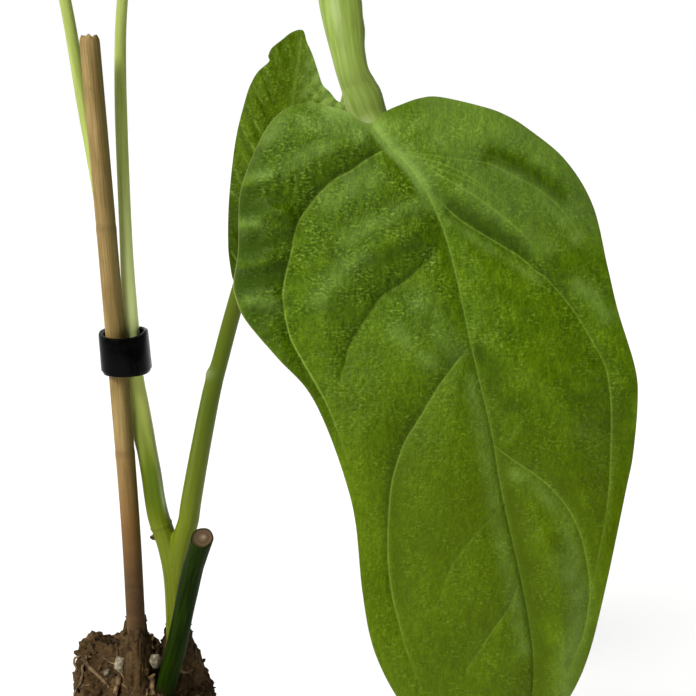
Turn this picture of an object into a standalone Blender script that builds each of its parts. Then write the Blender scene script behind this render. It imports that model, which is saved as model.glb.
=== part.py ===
"""A young climbing monstera in a small nursery pot, with a bamboo stake and one black clip.

Every length below is in millimetres, +Z is up, and the meshes are scaled to metres as they are made.
The origin is the middle of the pot's base. The plant's broad front leaf faces -Y.
"""
import math
from collections import namedtuple

import bmesh
import bpy
from mathutils import Vector, noise
from mathutils.geometry import delaunay_2d_cdt

MM = 0.001
GAP = 0.3

# Pot
POT_HEIGHT = 50.0
POT_BASE_RADIUS = 19.5
POT_RIM_RADIUS = 27.0
POT_WALL = 1.3
POT_FLOOR = 2.0
POT_EDGE = 0.6
RIM_BAND = 7.0
RIM_STEP = 1.4
RIM_LIP = 1.5
STEP_HEIGHT = POT_HEIGHT - RIM_BAND
STEP_RADIUS = POT_RIM_RADIUS - RIM_STEP
DRAIN_RADIUS = 1.8
DRAIN_CIRCLE = 12.0
DRAIN_COUNT = 5
DRAIN_TURN = math.radians(41.0)
POT_SIDES = 36

# Growing mix: fills the pot, and its upper part stands proud as a plug
MIX_LEVEL = 45.5
BALL_RADIUS = 20.4
BALL_TOP = 76.0
BALL_SIDES = 38
# The plug's side above the pot, as (distance out from its radius, height), and the rings of its top
BALL_SIDE = (
    (1.8, 47.5),
    (0.7, 52.0),
    (0.3, 57.0),
    (0.1, 62.0),
    (0.0, 66.5),
    (-0.2, 70.5),
    (-0.6, 73.6),
    (-1.7, 75.2),
    (-4.0, 75.8),
)
TOP_RINGS = (13.0, 10.4, 7.8, 5.2, 2.6)
BALL_ROUGHNESS = 0.8
BALL_TILT = (-0.15, 0.2)
# How much narrower the plug's top is at its right side and at its left side
RIGHT_TAPER = 0.3
LEFT_TAPER = 0.03
# Above this height the plug's top is heaped into mounds, over this rise.
HEAP_START = 66.0
HEAP_RISE = 8.0
# Mounds round the shoot, round the stake, at the far left and left of the stake, and a dip at the back,
# as (x, y, height, width)
MOUNDS = (
    (12.9, 3.5, 16.0, 8.2),
    (-0.8, -4.5, 19.0, 4.6),
    (-21.0, 4.0, 5.6, 8.8),
    (-6.5, -1.0, 3.2, 5.0),
    (4.0, 15.0, -4.5, 6.0),
)

# Bamboo stake, leaning to the left and slightly bowed, as (x, z) along it
STAKE_RADIUS = 2.65
STAKE_WORN = 1.2
STAKE_Y = -4.5
STAKE_LINE = ((0.4, 14.0), (-0.9, 80.0), (-1.5, 118.0), (-2.9, 155.0), (-4.9, 200.0), (-7.5, 253.0))

# Clip round the stake and the leaf stalks
CLIP_CENTRE = Vector((-1.6, -2.4, 169.6))
CLIP_HALF_WIDTH = 6.75
CLIP_HALF_DEPTH = 8.0
CLIP_HEIGHT = 11.6
CLIP_WALL = 1.3
CLIP_CHAMFER = 0.5
CLIP_SIDES = 32

# Blades
BLADE_THICKNESS = 0.8
FRONT_GRID = 3.4
BACK_GRID = 2.7
UPPER_GRID = 3.4

# The two blades that hang before the stems are drawn on sheets that lean back by this much.
SHEET_LEAN = math.radians(11.0)
# Their bulges move along lines through this point, which keeps the drawn outline.
EYE = Vector((59.5, -312.4, 230.7))

Sheet = namedtuple("Sheet", "origin right up face eye")


def material(name, colour, roughness, metallic=0.0):
    mat = bpy.data.materials.new(name)
    mat.use_nodes = True
    shader = mat.node_tree.nodes["Principled BSDF"]
    shader.inputs["Base Color"].default_value = (*colour, 1.0)
    shader.inputs["Roughness"].default_value = roughness
    shader.inputs["Metallic"].default_value = metallic
    return mat


def add_object(name, points, faces, mat, smooth_angle=math.radians(40)):
    """An object from points in millimetres, with its faces turned outward."""
    mesh = bpy.data.meshes.new(name)
    mesh.from_pydata([Vector(p) * MM for p in points], [], faces)
    bm = bmesh.new()
    bm.from_mesh(mesh)
    bmesh.ops.recalc_face_normals(bm, faces=bm.faces)
    bm.to_mesh(mesh)
    bm.free()
    mesh.shade_smooth()
    mesh.set_sharp_from_angle(angle=smooth_angle)
    mesh.materials.append(mat)
    obj = bpy.data.objects.new(name, mesh)
    bpy.context.scene.collection.objects.link(obj)
    return obj


def spline(points, step, closed=False):
    """Points about one step apart along a smooth curve through the given points."""
    points = [Vector(p) for p in points]
    count = len(points)
    result = []
    for i in range(count if closed else count - 1):
        b, c = points[i], points[(i + 1) % count]
        if closed:
            a, d = points[i - 1], points[(i + 2) % count]
        else:
            a = points[i - 1] if i else b * 2 - c
            d = points[i + 2] if i + 2 < count else c * 2 - b
        pieces = max(1, round((c - b).length / step))
        for k in range(pieces):
            t = k / pieces
            result.append(
                0.5 * (2 * b + (c - a) * t + (2 * a - 5 * b + 4 * c - d) * t * t
                       + (3 * b - a - 3 * c + d) * t * t * t)
            )
    if not closed:
        result.append(points[-1])
    return result


def stalk_mesh(route, sides=10, step=6.0, flat=1.0, cut=None):
    """Points and faces of a rod along a route of (x, y, z, radius).

    flat is its depth over its width. cut is the normal of a slanted end face.
    """
    path = spline(route, step)
    centres = [p.to_3d() for p in path]
    rings = []
    for i, p in enumerate(path):
        before, after = centres[max(i - 1, 0)], centres[min(i + 1, len(path) - 1)]
        tangent = (after - before).normalized()
        side = (Vector((1, 0, 0)) - tangent * tangent.x).normalized()
        front = tangent.cross(side)
        ring = []
        for k in range(sides):
            turn = 2 * math.pi * k / sides
            offset = (side * math.cos(turn) + front * math.sin(turn) * flat) * p.w
            if cut is not None and i == len(path) - 1:
                offset -= tangent * (offset.dot(cut) / tangent.dot(cut))
            ring.append(centres[i] + offset)
        rings.append(ring)
    points = [p for ring in rings for p in ring]
    faces = []
    for i in range(len(rings) - 1):
        for k in range(sides):
            a, b = i * sides + k, i * sides + (k + 1) % sides
            faces.append((a, b, b + sides, a + sides))
    faces.append(tuple(reversed(range(sides))))
    faces.append(tuple(range(len(points) - sides, len(points))))
    return points, faces


def turned_mesh(profile, sides, warp=None):
    """Points and faces of a solid turned round Z from (radius, height) points, whose ends lie on the axis."""
    points, faces = [], []
    for radius, height in profile[1:-1]:
        for k in range(sides):
            turn = 2 * math.pi * k / sides
            points.append(Vector((radius * math.cos(turn), radius * math.sin(turn), height)))
    rings = len(profile) - 2
    for i in range(rings - 1):
        for k in range(sides):
            a, b = i * sides + k, i * sides + (k + 1) % sides
            faces.append((a, b, b + sides, a + sides))
    for ring, height in ((0, profile[0][1]), (rings - 1, profile[-1][1])):
        points.append(Vector((0, 0, height)))
        pole = len(points) - 1
        for k in range(sides):
            faces.append((ring * sides + k, ring * sides + (k + 1) % sides, pole))
    if warp:
        points = [warp(p) for p in points]
    return points, faces


def join_solids(solids, solver="EXACT"):
    """Joins objects into the first one with one Boolean union and removes the others."""
    target, rest = solids[0], solids[1:]
    group = bpy.data.collections.new("joined")
    for obj in rest:
        group.objects.link(obj)
    union = target.modifiers.new("union", "BOOLEAN")
    union.operation = "UNION"
    union.operand_type = "COLLECTION"
    union.collection = group
    union.solver = solver
    apply_modifiers(target)
    for obj in rest:
        bpy.data.objects.remove(obj)
    bpy.data.collections.remove(group)


def cut_away(target, cutters):
    """Takes each cutter out of the target and removes it."""
    for cutter in cutters:
        cut = target.modifiers.new("cut", "BOOLEAN")
        cut.operation = "DIFFERENCE"
        cut.object = cutter
        apply_modifiers(target)
        bpy.data.objects.remove(cutter)


def apply_modifiers(obj):
    graph = bpy.context.evaluated_depsgraph_get()
    mesh = bpy.data.meshes.new_from_object(obj.evaluated_get(graph))
    obj.modifiers.clear()
    obj.data = mesh


def segment_distance(p, a, b):
    ab = b - a
    t = max(0.0, min(1.0, (p - a).dot(ab) / ab.length_squared))
    return (p - a - ab * t).length


def distance_to(p, line):
    return min(segment_distance(p, a, b) for a, b in zip(line, line[1:]))


def inside(p, outline):
    hit = False
    for a, b in zip(outline, outline[1:] + outline[:1]):
        if (a.y > p.y) != (b.y > p.y) and p.x < a.x + (b.x - a.x) * (p.y - a.y) / (b.y - a.y):
            hit = not hit
    return hit


def sheet_point(sheet, x, up, lift):
    """The place of a drawn point that bulges by lift towards the blade's face."""
    flat = sheet.origin + sheet.right * x + sheet.up * up
    if sheet.eye is None:
        return flat + sheet.face * lift
    line = sheet.eye - flat
    depth = line.dot(sheet.face)
    return flat + line * (lift / depth)


def blade_mesh(sheet, outline_points, midrib, lift, grid):
    """Points and faces of a thin blade: one net of triangles for the face, the same one behind it."""
    outline = [Vector((p[0], p[1])) for p in outline_points]
    outline = spline(outline, grid * 0.9, closed=True)
    ridge = [p for p in spline([Vector(p) for p in midrib], grid) if inside(p, outline)]
    rim = outline + outline[:1]
    ridge = [p for p in ridge if distance_to(p, rim) > grid * 0.5]
    low = Vector((min(p.x for p in outline), min(p.y for p in outline)))
    high = Vector((max(p.x for p in outline), max(p.y for p in outline)))
    row_step = grid * math.sqrt(0.75)
    field = []
    for j in range(int((high.y - low.y) / row_step) + 1):
        for i in range(int((high.x - low.x) / grid) + 1):
            p = Vector((low.x + (i + 0.5 * (j % 2)) * grid, low.y + j * row_step))
            clear = inside(p, outline) and distance_to(p, rim) > grid * 0.55
            if clear and min((p - q).length for q in ridge) > grid * 0.6:
                field.append(p)
    drawn = outline + ridge + field
    loop = list(range(len(outline)))
    flat, _, triangles, _, _, _ = delaunay_2d_cdt(drawn, [], [loop], 1, 1e-5)
    count = len(flat)
    points = [sheet_point(sheet, p.x, p.y, lift(p.x, p.y)) for p in flat]
    points += [sheet_point(sheet, p.x, p.y, lift(p.x, p.y) - BLADE_THICKNESS) for p in flat]
    uses = {}
    for tri in triangles:
        for a, b in zip(tri, tri[1:] + tri[:1]):
            uses[(a, b)] = uses.get((a, b), 0) + 1
    faces = [tuple(tri) for tri in triangles]
    faces += [tuple(count + i for i in reversed(tri)) for tri in triangles]
    for a, b in uses:
        if (b, a) not in uses:
            faces.append((b, a, count + a, count + b))
    return points, faces


def side_of(midrib, x, up):
    """How far a drawn point lies to the right of the midrib, at its height on the sheet."""
    for (x0, y0), (x1, y1) in zip(midrib, midrib[1:]):
        if min(y0, y1) <= up <= max(y0, y1):
            return x - x0 - (x1 - x0) * (up - y0) / (y1 - y0)
    end = min((midrib[0], midrib[-1]), key=lambda p: abs(p[1] - up))
    return x - end[0]


def quilt(x, up, veins, height, width):
    """The puffed surface between impressed veins: 0 on a vein, up to height away from all of them."""
    near = min(distance_to(Vector((x, up)), vein) for vein in veins)
    return height * (1 - math.exp(-(near / width) ** 2))


def facing_sheet(origin):
    """A sheet that faces the eye."""
    up = Vector((0, math.sin(SHEET_LEAN), math.cos(SHEET_LEAN)))
    face = Vector((0, -math.cos(SHEET_LEAN), math.sin(SHEET_LEAN)))
    return Sheet(Vector(origin), Vector((1, 0, 0)), up, face, EYE)


def tilted_sheet(origin, tip_direction, face_direction):
    """A sheet whose tip points down its up axis, for a blade drawn tip down."""
    up = -Vector(tip_direction).normalized()
    face = Vector(face_direction)
    face = (face - up * face.dot(up)).normalized()
    return Sheet(Vector(origin), up.cross(face), up, face, None)


def vectors(points):
    return [Vector(p) for p in points]


def pot():
    """A thin-walled moulded pot with a rim band, and drain holes in its floor."""
    inner = STEP_RADIUS - POT_WALL
    profile = [
        (0, 0),
        (POT_BASE_RADIUS - POT_EDGE, 0),
        (POT_BASE_RADIUS, POT_EDGE),
        (STEP_RADIUS, STEP_HEIGHT),
        (POT_RIM_RADIUS - POT_EDGE, STEP_HEIGHT),
        (POT_RIM_RADIUS, STEP_HEIGHT + POT_EDGE),
        (POT_RIM_RADIUS, POT_HEIGHT - POT_EDGE),
        (POT_RIM_RADIUS - POT_EDGE, POT_HEIGHT),
        (POT_RIM_RADIUS - RIM_LIP, POT_HEIGHT),
        (inner + POT_EDGE, STEP_HEIGHT + RIM_LIP),
        (inner, STEP_HEIGHT - POT_EDGE),
        (POT_BASE_RADIUS - POT_WALL, POT_FLOOR),
        (0, POT_FLOOR),
    ]
    points, faces = turned_mesh(profile, POT_SIDES)
    obj = add_object("pot", points, faces, material("moulded_pot", (0.035, 0.036, 0.038), 0.5))
    drains = []
    for k in range(DRAIN_COUNT):
        turn = DRAIN_TURN + 2 * math.pi * k / DRAIN_COUNT
        x, y = DRAIN_CIRCLE * math.cos(turn), DRAIN_CIRCLE * math.sin(turn)
        route = [(x, y, -POT_FLOOR, DRAIN_RADIUS), (x, y, 2 * POT_FLOOR, DRAIN_RADIUS)]
        hole = stalk_mesh(route, sides=12, step=10)
        drains.append(add_object("drain", *hole, obj.data.materials[0]))
    cut_away(obj, drains)
    return obj


# Centre lines of the stems, as (x, y, z, radius)
OLD_STEM_ROUTE = [
    (6.2, -6.6, 58.0, 2.8),
    (7.4, -8.0, 72.0, 2.9),
    (12.3, -14.0, 90.1, 2.8),
    (17.9, -25.0, 113.0, 2.75),
    (20.2, -29.6, 120.5, 2.75),
    (22.4, -34.0, 127.3, 2.8),
]
OLD_STEM_CUT = Vector((0.08, -0.70, 0.71))

SHOOT_LEFT_ROUTE = [
    (8.6, 3.2, 60.0, 2.7),
    (8.9, 1.8, 74.0, 2.8),
    (9.8, -0.6, 90.0, 2.9),
    (9.9, -2.8, 105.0, 3.0),
    (8.3, -3.2, 115.0, 3.0),
    (6.3, -3.0, 121.5, 3.05),
    (5.2, -2.5, 127.2, 2.9),
    (4.4, -2.1, 134.0, 2.85),
    (3.35, -1.5, 140.5, 2.8),
    (2.15, -0.6, 146.7, 3.0),
    (1.45, -0.4, 153.6, 2.65),
    (0.7, -0.5, 160.0, 2.4),
    (0.25, -0.7, 166.0, 2.2),
]
SHOOT_RIGHT_ROUTE = [
    (9.8, -1.8, 98.0, 2.4),
    (11.6, -4.0, 110.0, 2.9),
    (13.5, -5.4, 117.5, 2.95),
    (15.0, -6.2, 122.2, 2.9),
    (16.2, -7.6, 128.8, 2.85),
    (19.5, -12.0, 144.0, 2.7),
    (23.1, -17.0, 159.3, 2.6),
    (24.7, -18.5, 165.5, 2.6),
    (26.4, -19.8, 169.8, 2.15),
    (28.8, -22.0, 178.9, 2.1),
    (31.4, -25.0, 187.2, 2.05),
    (33.1, -26.5, 191.9, 2.2),
    (34.1, -27.2, 194.5, 2.5),
]
BUD_SCAR_ROUTE = [
    (4.6, -3.2, 114.2, 0.5),
    (4.9, -3.4, 115.8, 1.0),
    (5.6, -3.2, 117.6, 1.5),
    (7.0, -3.0, 119.6, 2.0),
]


def heaped(p):
    """Where a point of the plain turned plug lies once it is roughened, tapered, tilted and heaped."""
    radius = math.hypot(p.x, p.y)
    proud = max(0.0, min(1.0, (p.z - MIX_LEVEL) / HEAP_RISE))
    rough = noise.noise(p * 0.16) + 0.6 * noise.noise(p * 0.37)
    grow = 1 + BALL_ROUGHNESS * proud * rough / max(radius, 6.0)
    top = max(0.0, min(1.0, (p.z - HEAP_START) / HEAP_RISE))
    level = p.z + top * (BALL_TILT[0] * p.x + BALL_TILT[1] * p.y + 1.2 * rough - 1.0)
    for x, y, height, width in MOUNDS:
        near = ((p.x - x) ** 2 + (p.y - y) ** 2) / width ** 2
        level += top * height * math.exp(-near * near)
    taper = RIGHT_TAPER * p.x / BALL_RADIUS if p.x > 0 else LEFT_TAPER * (p.x / BALL_RADIUS) ** 2
    return Vector((p.x * grow * (1 - top * taper), p.y * grow, level))


def root_mix():
    """The plug of bark, peat and roots: it fills the pot and stands proud, mounded round the stems."""
    floor_r = POT_BASE_RADIUS - POT_WALL - GAP
    wall_r = STEP_RADIUS - POT_WALL - GAP
    base = POT_FLOOR + GAP
    profile = [(0, base), (floor_r - 0.1, base), (wall_r - 0.2, STEP_HEIGHT - 1.2)]
    profile += [(wall_r + 0.2, MIX_LEVEL - POT_EDGE), (wall_r - 0.5, MIX_LEVEL)]
    profile += [(BALL_RADIUS + out, z) for out, z in BALL_SIDE]
    profile += [(radius, BALL_TOP) for radius in TOP_RINGS]
    profile += [(0, BALL_TOP)]
    points, faces = turned_mesh(profile, BALL_SIDES, heaped)
    mat = material("growing_mix", (0.075, 0.05, 0.032), 0.95)
    obj = add_object("root_ball", points, faces, mat, math.radians(60))
    sockets = []
    stake_route = [(x, STAKE_Y, z, STAKE_RADIUS) for x, z in STAKE_LINE]
    for route, upto in ((OLD_STEM_ROUTE, 4), (SHOOT_LEFT_ROUTE, 4), (stake_route, 3)):
        wide = [(x, y, z, r + GAP) for x, y, z, r in route[:upto]]
        first, second = Vector(wide[0][:3]), Vector(wide[1][:3])
        start = first + (first - second).normalized() * GAP
        wide[0] = (*start, wide[0][3])
        sockets.append(add_object("socket", *stalk_mesh(wide, sides=12), mat))
    cut_away(obj, sockets)
    return obj


def stake():
    """A round bamboo stick with a worn top end."""
    route = [(x, STAKE_Y, z, STAKE_RADIUS) for x, z in STAKE_LINE]
    x, y, z, radius = route.pop()
    route += [(x, y, z - STAKE_WORN, radius), (x, y, z, radius - STAKE_WORN / 3)]
    points, faces = stalk_mesh(route, sides=14, step=14)
    return add_object("stake", points, faces, material("bamboo", (0.40, 0.27, 0.15), 0.7))


def stem_clip():
    """A moulded oval collar, chamfered at both mouths."""
    half = CLIP_HEIGHT / 2
    edge = CLIP_CHAMFER
    profile = [(0.0, -half + edge * 1.8), (0.0, half - edge), (edge, half), (CLIP_WALL - edge, half)]
    profile += [(CLIP_WALL, half - edge), (CLIP_WALL, -half + edge), (CLIP_WALL - edge, -half)]
    profile += [(edge * 1.4, -half)]
    sides = CLIP_SIDES
    points, faces = [], []
    for inset, z in profile:
        for k in range(sides):
            turn = 2 * math.pi * k / sides
            x = (CLIP_HALF_WIDTH - inset) * math.cos(turn)
            y = (CLIP_HALF_DEPTH - inset) * math.sin(turn)
            points.append(CLIP_CENTRE + Vector((x, y, z)))
    for i in range(len(profile)):
        for k in range(sides):
            a, b = i * sides + k, i * sides + (k + 1) % sides
            j = (i + 1) % len(profile)
            faces.append((a, b, j * sides + (k + 1) % sides, j * sides + k))
    return add_object("stem_clip", points, faces, material("clip_plastic", (0.008, 0.008, 0.009), 0.2))


def old_stem():
    """The parent cutting's stem, sawn off on a slant above the plug."""
    points, faces = stalk_mesh(OLD_STEM_ROUTE, sides=14, step=7.0, cut=OLD_STEM_CUT)
    return add_object("old_stem", points, faces, material("old_bark", (0.02, 0.045, 0.006), 0.45))


def shoot():
    """The new growth: one base that forks into a left and a right branch."""
    mat = material("green_shoot", (0.22, 0.30, 0.04), 0.4)
    left = add_object("shoot", *stalk_mesh(SHOOT_LEFT_ROUTE, sides=12, step=6.0), mat)
    right = add_object("right_branch", *stalk_mesh(SHOOT_RIGHT_ROUTE, sides=12, step=6.0), mat)
    nub = add_object("bud_scar", *stalk_mesh(BUD_SCAR_ROUTE, sides=8, step=2), mat)
    join_solids([left, right, nub])
    return left


# Routes of the leaf stalks, as (x, y, z, radius)
FRONT_STALK_ROUTE = [
    (34.5, -27.4, 195.2, 1.7),
    (35.7, -27.6, 197.8, 1.75),
    (38.5, -28.0, 202.6, 1.7),
    (45.3, -29.0, 213.2, 1.75),
    (53.2, -31.0, 224.1, 1.8),
    (59.0, -33.0, 234.4, 1.8),
    (60.4, -35.0, 243.1, 1.85),
    (59.3, -38.0, 252.0, 1.95),
    (57.9, -43.0, 260.3, 2.1),
    (56.9, -50.0, 268.3, 2.3),
    (56.2, -60.5, 273.6, 2.6),
    (56.0, -72.5, 271.6, 3.0),
    (56.7, -85.1, 264.0, 3.4),
    (58.2, -96.4, 252.6, 3.75),
    (59.9, -100.9, 241.8, 2.95),
    (61.2, -101.7, 237.5, 3.2),
    (62.3, -102.0, 234.9, 3.6),
    (63.2, -102.2, 232.8, 3.4),
    (63.8, -102.2, 230.3, 2.6),
]
BACK_STALK_ROUTE = [
    (35.9, -29.9, 199.6, 1.0),
    (35.5, -32.2, 201.2, 1.2),
    (36.7, -35.6, 203.2, 1.2),
    (38.6, -38.4, 203.8, 1.15),
    (40.1, -41.2, 203.2, 1.05),
]
UPPER_LEFT_STALK_ROUTE = [
    (-2.3, 2.0, 167.2, 1.4),
    (-3.7, 1.2, 172.5, 1.6),
    (-4.9, 1.1, 180.0, 1.75),
    (-6.3, 1.8, 192.0, 1.75),
    (-8.0, 3.0, 210.7, 1.75),
    (-12.0, 5.0, 237.1, 1.7),
    (-16.0, 7.0, 263.2, 1.6),
    (-20.6, 9.6, 282.0, 1.5),
    (-27.0, 14.0, 291.0, 1.6),
]
UPPER_CENTRE_STALK_ROUTE = [
    (0.4, -0.8, 166.4, 2.1),
    (0.0, -0.9, 174.0, 2.2),
    (-0.7, -0.2, 199.8, 1.75),
    (-1.3, 3.0, 239.6, 1.6),
    (-0.3, 5.0, 263.0, 1.45),
    (2.6, 9.0, 283.0, 1.4),
    (8.0, 16.5, 294.0, 1.5),
]


def stalk(name, route, mat, sides=10, flat=1.0):
    """A leaf stalk with rings about 6.5 mm apart."""
    return add_object(name, *stalk_mesh(route, sides=sides, step=6.5, flat=flat), mat)


# The front blade, drawn from where its stalk meets it: x to the right, the tip downward
FRONT_OUTLINE = [
    (-0.3, -0.8), (1.7, 1.0), (4.5, 2.3), (8.0, 3.5), (11.5, 3.7), (18.6, 2.1), (22.6, 0.7), (26.6, -1.7),
    (33.2, -7.2), (38.0, -15.1), (40.6, -25.9), (42.4, -33.5), (45.3, -43.1), (45.8, -49.0), (45.0, -58.3),
    (43.8, -64.4), (40.1, -81.6), (37.0, -93.1), (33.9, -100.3), (29.6, -106.4), (22.7, -110.4),
    (14.6, -108.6), (8.4, -104.6), (4.2, -100.3), (0.3, -92.0), (-1.7, -82.3), (-3.1, -70.3), (-5.0, -62.7),
    (-8.3, -53.5), (-11.7, -47.0), (-16.7, -41.7), (-22.2, -35.2), (-24.0, -31.3), (-24.4, -28.4),
    (-23.6, -22.9), (-23.4, -14.1), (-22.0, -8.9), (-18.9, -2.1), (-15.6, 1.5), (-12.3, 2.6), (-9.4, 2.5),
    (-4.7, 1.2), (-2.6, -0.3),
]
FRONT_MIDRIB = [
    (0.0, -1.4), (2.4, -4.5), (7.3, -9.9), (11.6, -18.2), (14.4, -28.0), (17.0, -40.1), (20.3, -54.2),
    (22.2, -65.1), (26.4, -84.4), (27.7, -96.0), (26.4, -104.0), (22.7, -110.0),
]
FRONT_VEINS = [
    [(2.6, -5.2), (-3.8, -9.0), (-11.8, -16.0), (-14.2, -22.9), (-15.8, -30.6), (-14.0, -39.4), (-8.2, -49.3),
     (-4.5, -60.4), (-2.6, -71.4)],
    [(11.6, -22.0), (5.4, -28.3), (-2.3, -36.6), (-5.0, -42.9), (-8.2, -48.4)],
    [(16.7, -39.6), (10.9, -47.1), (4.9, -58.2), (2.4, -73.1), (3.3, -84.4), (8.2, -99.5)],
    [(25.2, -81.1), (21.2, -88.2), (15.6, -97.0)],
    [(4.5, -5.6), (19.6, -7.8), (30.6, -13.9), (38.0, -24.0)],
    [(12.0, -10.6), (25.0, -17.4), (31.0, -27.1)],
    [(10.6, -13.5), (22.0, -22.0), (30.2, -28.1), (36.3, -36.1), (41.1, -49.1), (41.1, -64.4)],
    [(17.0, -40.1), (24.0, -41.7), (30.7, -47.2), (35.8, -53.3)],
    [(20.8, -56.8), (28.8, -62.5), (34.2, -68.6), (37.6, -80.0), (34.2, -95.3)],
]
FRONT_VEIN_LINES = [vectors(FRONT_MIDRIB)] + [vectors(vein) for vein in FRONT_VEINS]
FRONT_SHEET_ORIGIN = (64.0, -108.5, 231.7)
# How fast the front blade's left and right halves drop back from the midrib, and its base, left lobe and tip
# roll back, all with the square of the distance
LEFT_DROP = 0.0028
RIGHT_DROP = 0.0085
BASE_ROLL = (-9.0, 0.035)
LOBE_ROLL = (-15.0, 0.045)
TIP_ROLL = (-78.0, 0.004)
# Puffs between the veins and waves of the margin: height and length
FRONT_PUFF = (1.9, 4.2)
MARGIN_WAVE = (0.9, 5.3)


def front_lift(x, up):
    """The front blade's relief: halves dropped back from the midrib, puffed between veins, waved margins."""
    side = side_of(FRONT_MIDRIB, x, up)
    drop = (LEFT_DROP if side < 0 else RIGHT_DROP) * side * side
    base_roll = BASE_ROLL[1] * max(0.0, up - BASE_ROLL[0]) ** 2
    lobe_roll = LOBE_ROLL[1] * max(0.0, LOBE_ROLL[0] - x) ** 2
    tip_roll = TIP_ROLL[1] * max(0.0, TIP_ROLL[0] - up) ** 2
    height, length = MARGIN_WAVE
    wave = height * math.sin(up / length + x * 0.09) * min(1.0, (side / 26.0) ** 2)
    puff = quilt(x, up, FRONT_VEIN_LINES, *FRONT_PUFF)
    return puff + wave - drop - base_roll - lobe_roll - tip_roll


# The young blade behind it, drawn from where its stalk meets it, with the tip up
BACK_OUTLINE = [
    (0.0, -0.9), (1.9, -8.6), (5.6, -11.4), (9.8, -10.4), (13.8, -5.6), (16.9, 2.6), (18.7, 10.8),
    (19.5, 19.0), (19.2, 26.0), (18.3, 32.6), (16.4, 34.3), (15.0, 36.1), (13.3, 37.8), (12.3, 40.6),
    (11.0, 44.6), (9.6, 47.8), (8.6, 50.6), (6.1, 50.2), (3.6, 48.3), (1.3, 46.4), (0.5, 44.5),
    (0.7, 43.3), (-1.9, 40.9), (-3.5, 38.2), (-4.7, 34.9), (-6.8, 26.7), (-8.0, 18.5), (-8.8, 9.1),
    (-8.9, 0.2), (-8.4, -4.7), (-7.7, -8.0), (-6.1, -10.4), (-3.7, -10.9), (-1.6, -8.4),
]
BACK_MIDRIB = [(0.0, -0.5), (2.2, 12.0), (4.8, 25.0), (7.0, 39.0), (8.2, 48.5)]
BACK_SHEET_ORIGIN = (40.3, -42.8, 202.6)
# How steeply the young blade's left and right halves come forward, and its ribs: height, slope and pitch
LEFT_FOLD = 0.20
RIGHT_FOLD = 0.26
RIB_HEIGHT = 0.35
RIB_SLOPE = 0.9
RIB_PITCH = 1.05


def back_lift(x, up):
    """The young blade is still half folded, so its halves come forward from the midrib."""
    side = side_of(BACK_MIDRIB, x, up)
    fold = (LEFT_FOLD if side < 0 else RIGHT_FOLD) * abs(side)
    ribbing = RIB_HEIGHT * math.sin((up - RIB_SLOPE * abs(side)) * RIB_PITCH) * min(1.0, abs(side) / 5.0)
    lobe_roll = 0.06 * max(0.0, -5.5 - side) ** 2
    tip_roll = 0.012 * max(0.0, up - 34.0) ** 2
    return fold + ribbing - lobe_roll - tip_roll


# One half of a full-grown blade of this kind, as shares of its length from the stalk to the tip
HALF_OUTLINE = [
    (0.0, -0.02), (0.05, 0.045), (0.13, 0.075), (0.22, 0.05), (0.285, -0.04), (0.315, -0.15), (0.31, -0.28),
    (0.285, -0.42), (0.245, -0.56), (0.19, -0.69), (0.125, -0.81), (0.06, -0.915), (0.018, -0.975),
    (0.0, -1.0),
]
VEIN_STARTS = (0.03, 0.13, 0.25, 0.39, 0.55, 0.71)
# A side vein from the midrib to near the margin, as (share of its reach, share of the blade's length down)
VEIN_SWEEP = ((0.0, 0.0), (0.35, 0.05), (0.72, 0.14), (1.0, 0.27))
UPPER_PUFF = (1.3, 3.4)
UPPER_FOLD = 0.12
# The two blades: name, stalk end, where the tip points, where the face looks, length, arch
UPPER_BLADES = (
    ("leaf_upper_left", (-26.3, 13.7, 293.2), (-0.86, 0.42, -0.05), (-0.10, -0.25, 1.0), 74.0, 0.16),
    ("leaf_upper_centre", (7.5, 15.6, 296.2), (0.42, 0.86, 0.05), (0.05, -0.30, 1.0), 68.0, 0.16),
)


def whole_outline(length):
    right = [(x * length, y * length) for x, y in HALF_OUTLINE]
    left = [(-x, y) for x, y in reversed(right[1:-1])]
    return right + left


def paired_veins(length):
    """The midrib and pairs of side veins that leave it and sweep towards the tip."""
    veins = [vectors([(0, -0.02 * length), (0, -0.97 * length)])]
    for start in VEIN_STARTS:
        reach = 0.27 * math.sin(math.pi * min(0.97, start + 0.2)) + 0.02
        for hand in (1, -1):
            vein = [(hand * reach * share * length, -(start + down) * length) for share, down in VEIN_SWEEP]
            veins.append(vectors(vein))
    return veins


def arching_lift(length, veins, arch):
    """A full-grown blade that arches from stalk to tip, folded a little along its midrib."""

    def lift(x, up):
        along = -up / length
        droop = arch * length * max(0.0, along - 0.1) ** 2
        phase = up / MARGIN_WAVE[1] + (1.0 if x > 0 else 3.0)
        wave = MARGIN_WAVE[0] * math.sin(phase) * min(1.0, (x / (0.25 * length)) ** 2)
        cupping = UPPER_FOLD * abs(x) - 0.006 * x * x
        return cupping + quilt(x, up, veins, *UPPER_PUFF) + wave - droop

    return lift


def leaf_blades():
    mat = material("leaf_blade", (0.12, 0.24, 0.03), 0.35)
    young = material("young_blade", (0.10, 0.19, 0.02), 0.35)
    points, faces = blade_mesh(
        facing_sheet(FRONT_SHEET_ORIGIN), FRONT_OUTLINE, FRONT_MIDRIB, front_lift, FRONT_GRID
    )
    add_object("leaf_front", points, faces, mat)
    points, faces = blade_mesh(
        facing_sheet(BACK_SHEET_ORIGIN), BACK_OUTLINE, BACK_MIDRIB, back_lift, BACK_GRID
    )
    add_object("leaf_back", points, faces, young)
    for name, origin, tip, face, length, arch in UPPER_BLADES:
        veins = paired_veins(length)
        sheet = tilted_sheet(origin, tip, face)
        midrib = [(0.0, -0.03 * length), (0.0, -0.5 * length), (0.0, -0.97 * length)]
        lift = arching_lift(length, veins, arch)
        points, faces = blade_mesh(sheet, whole_outline(length), midrib, lift, UPPER_GRID)
        add_object(name, points, faces, mat)


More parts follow.
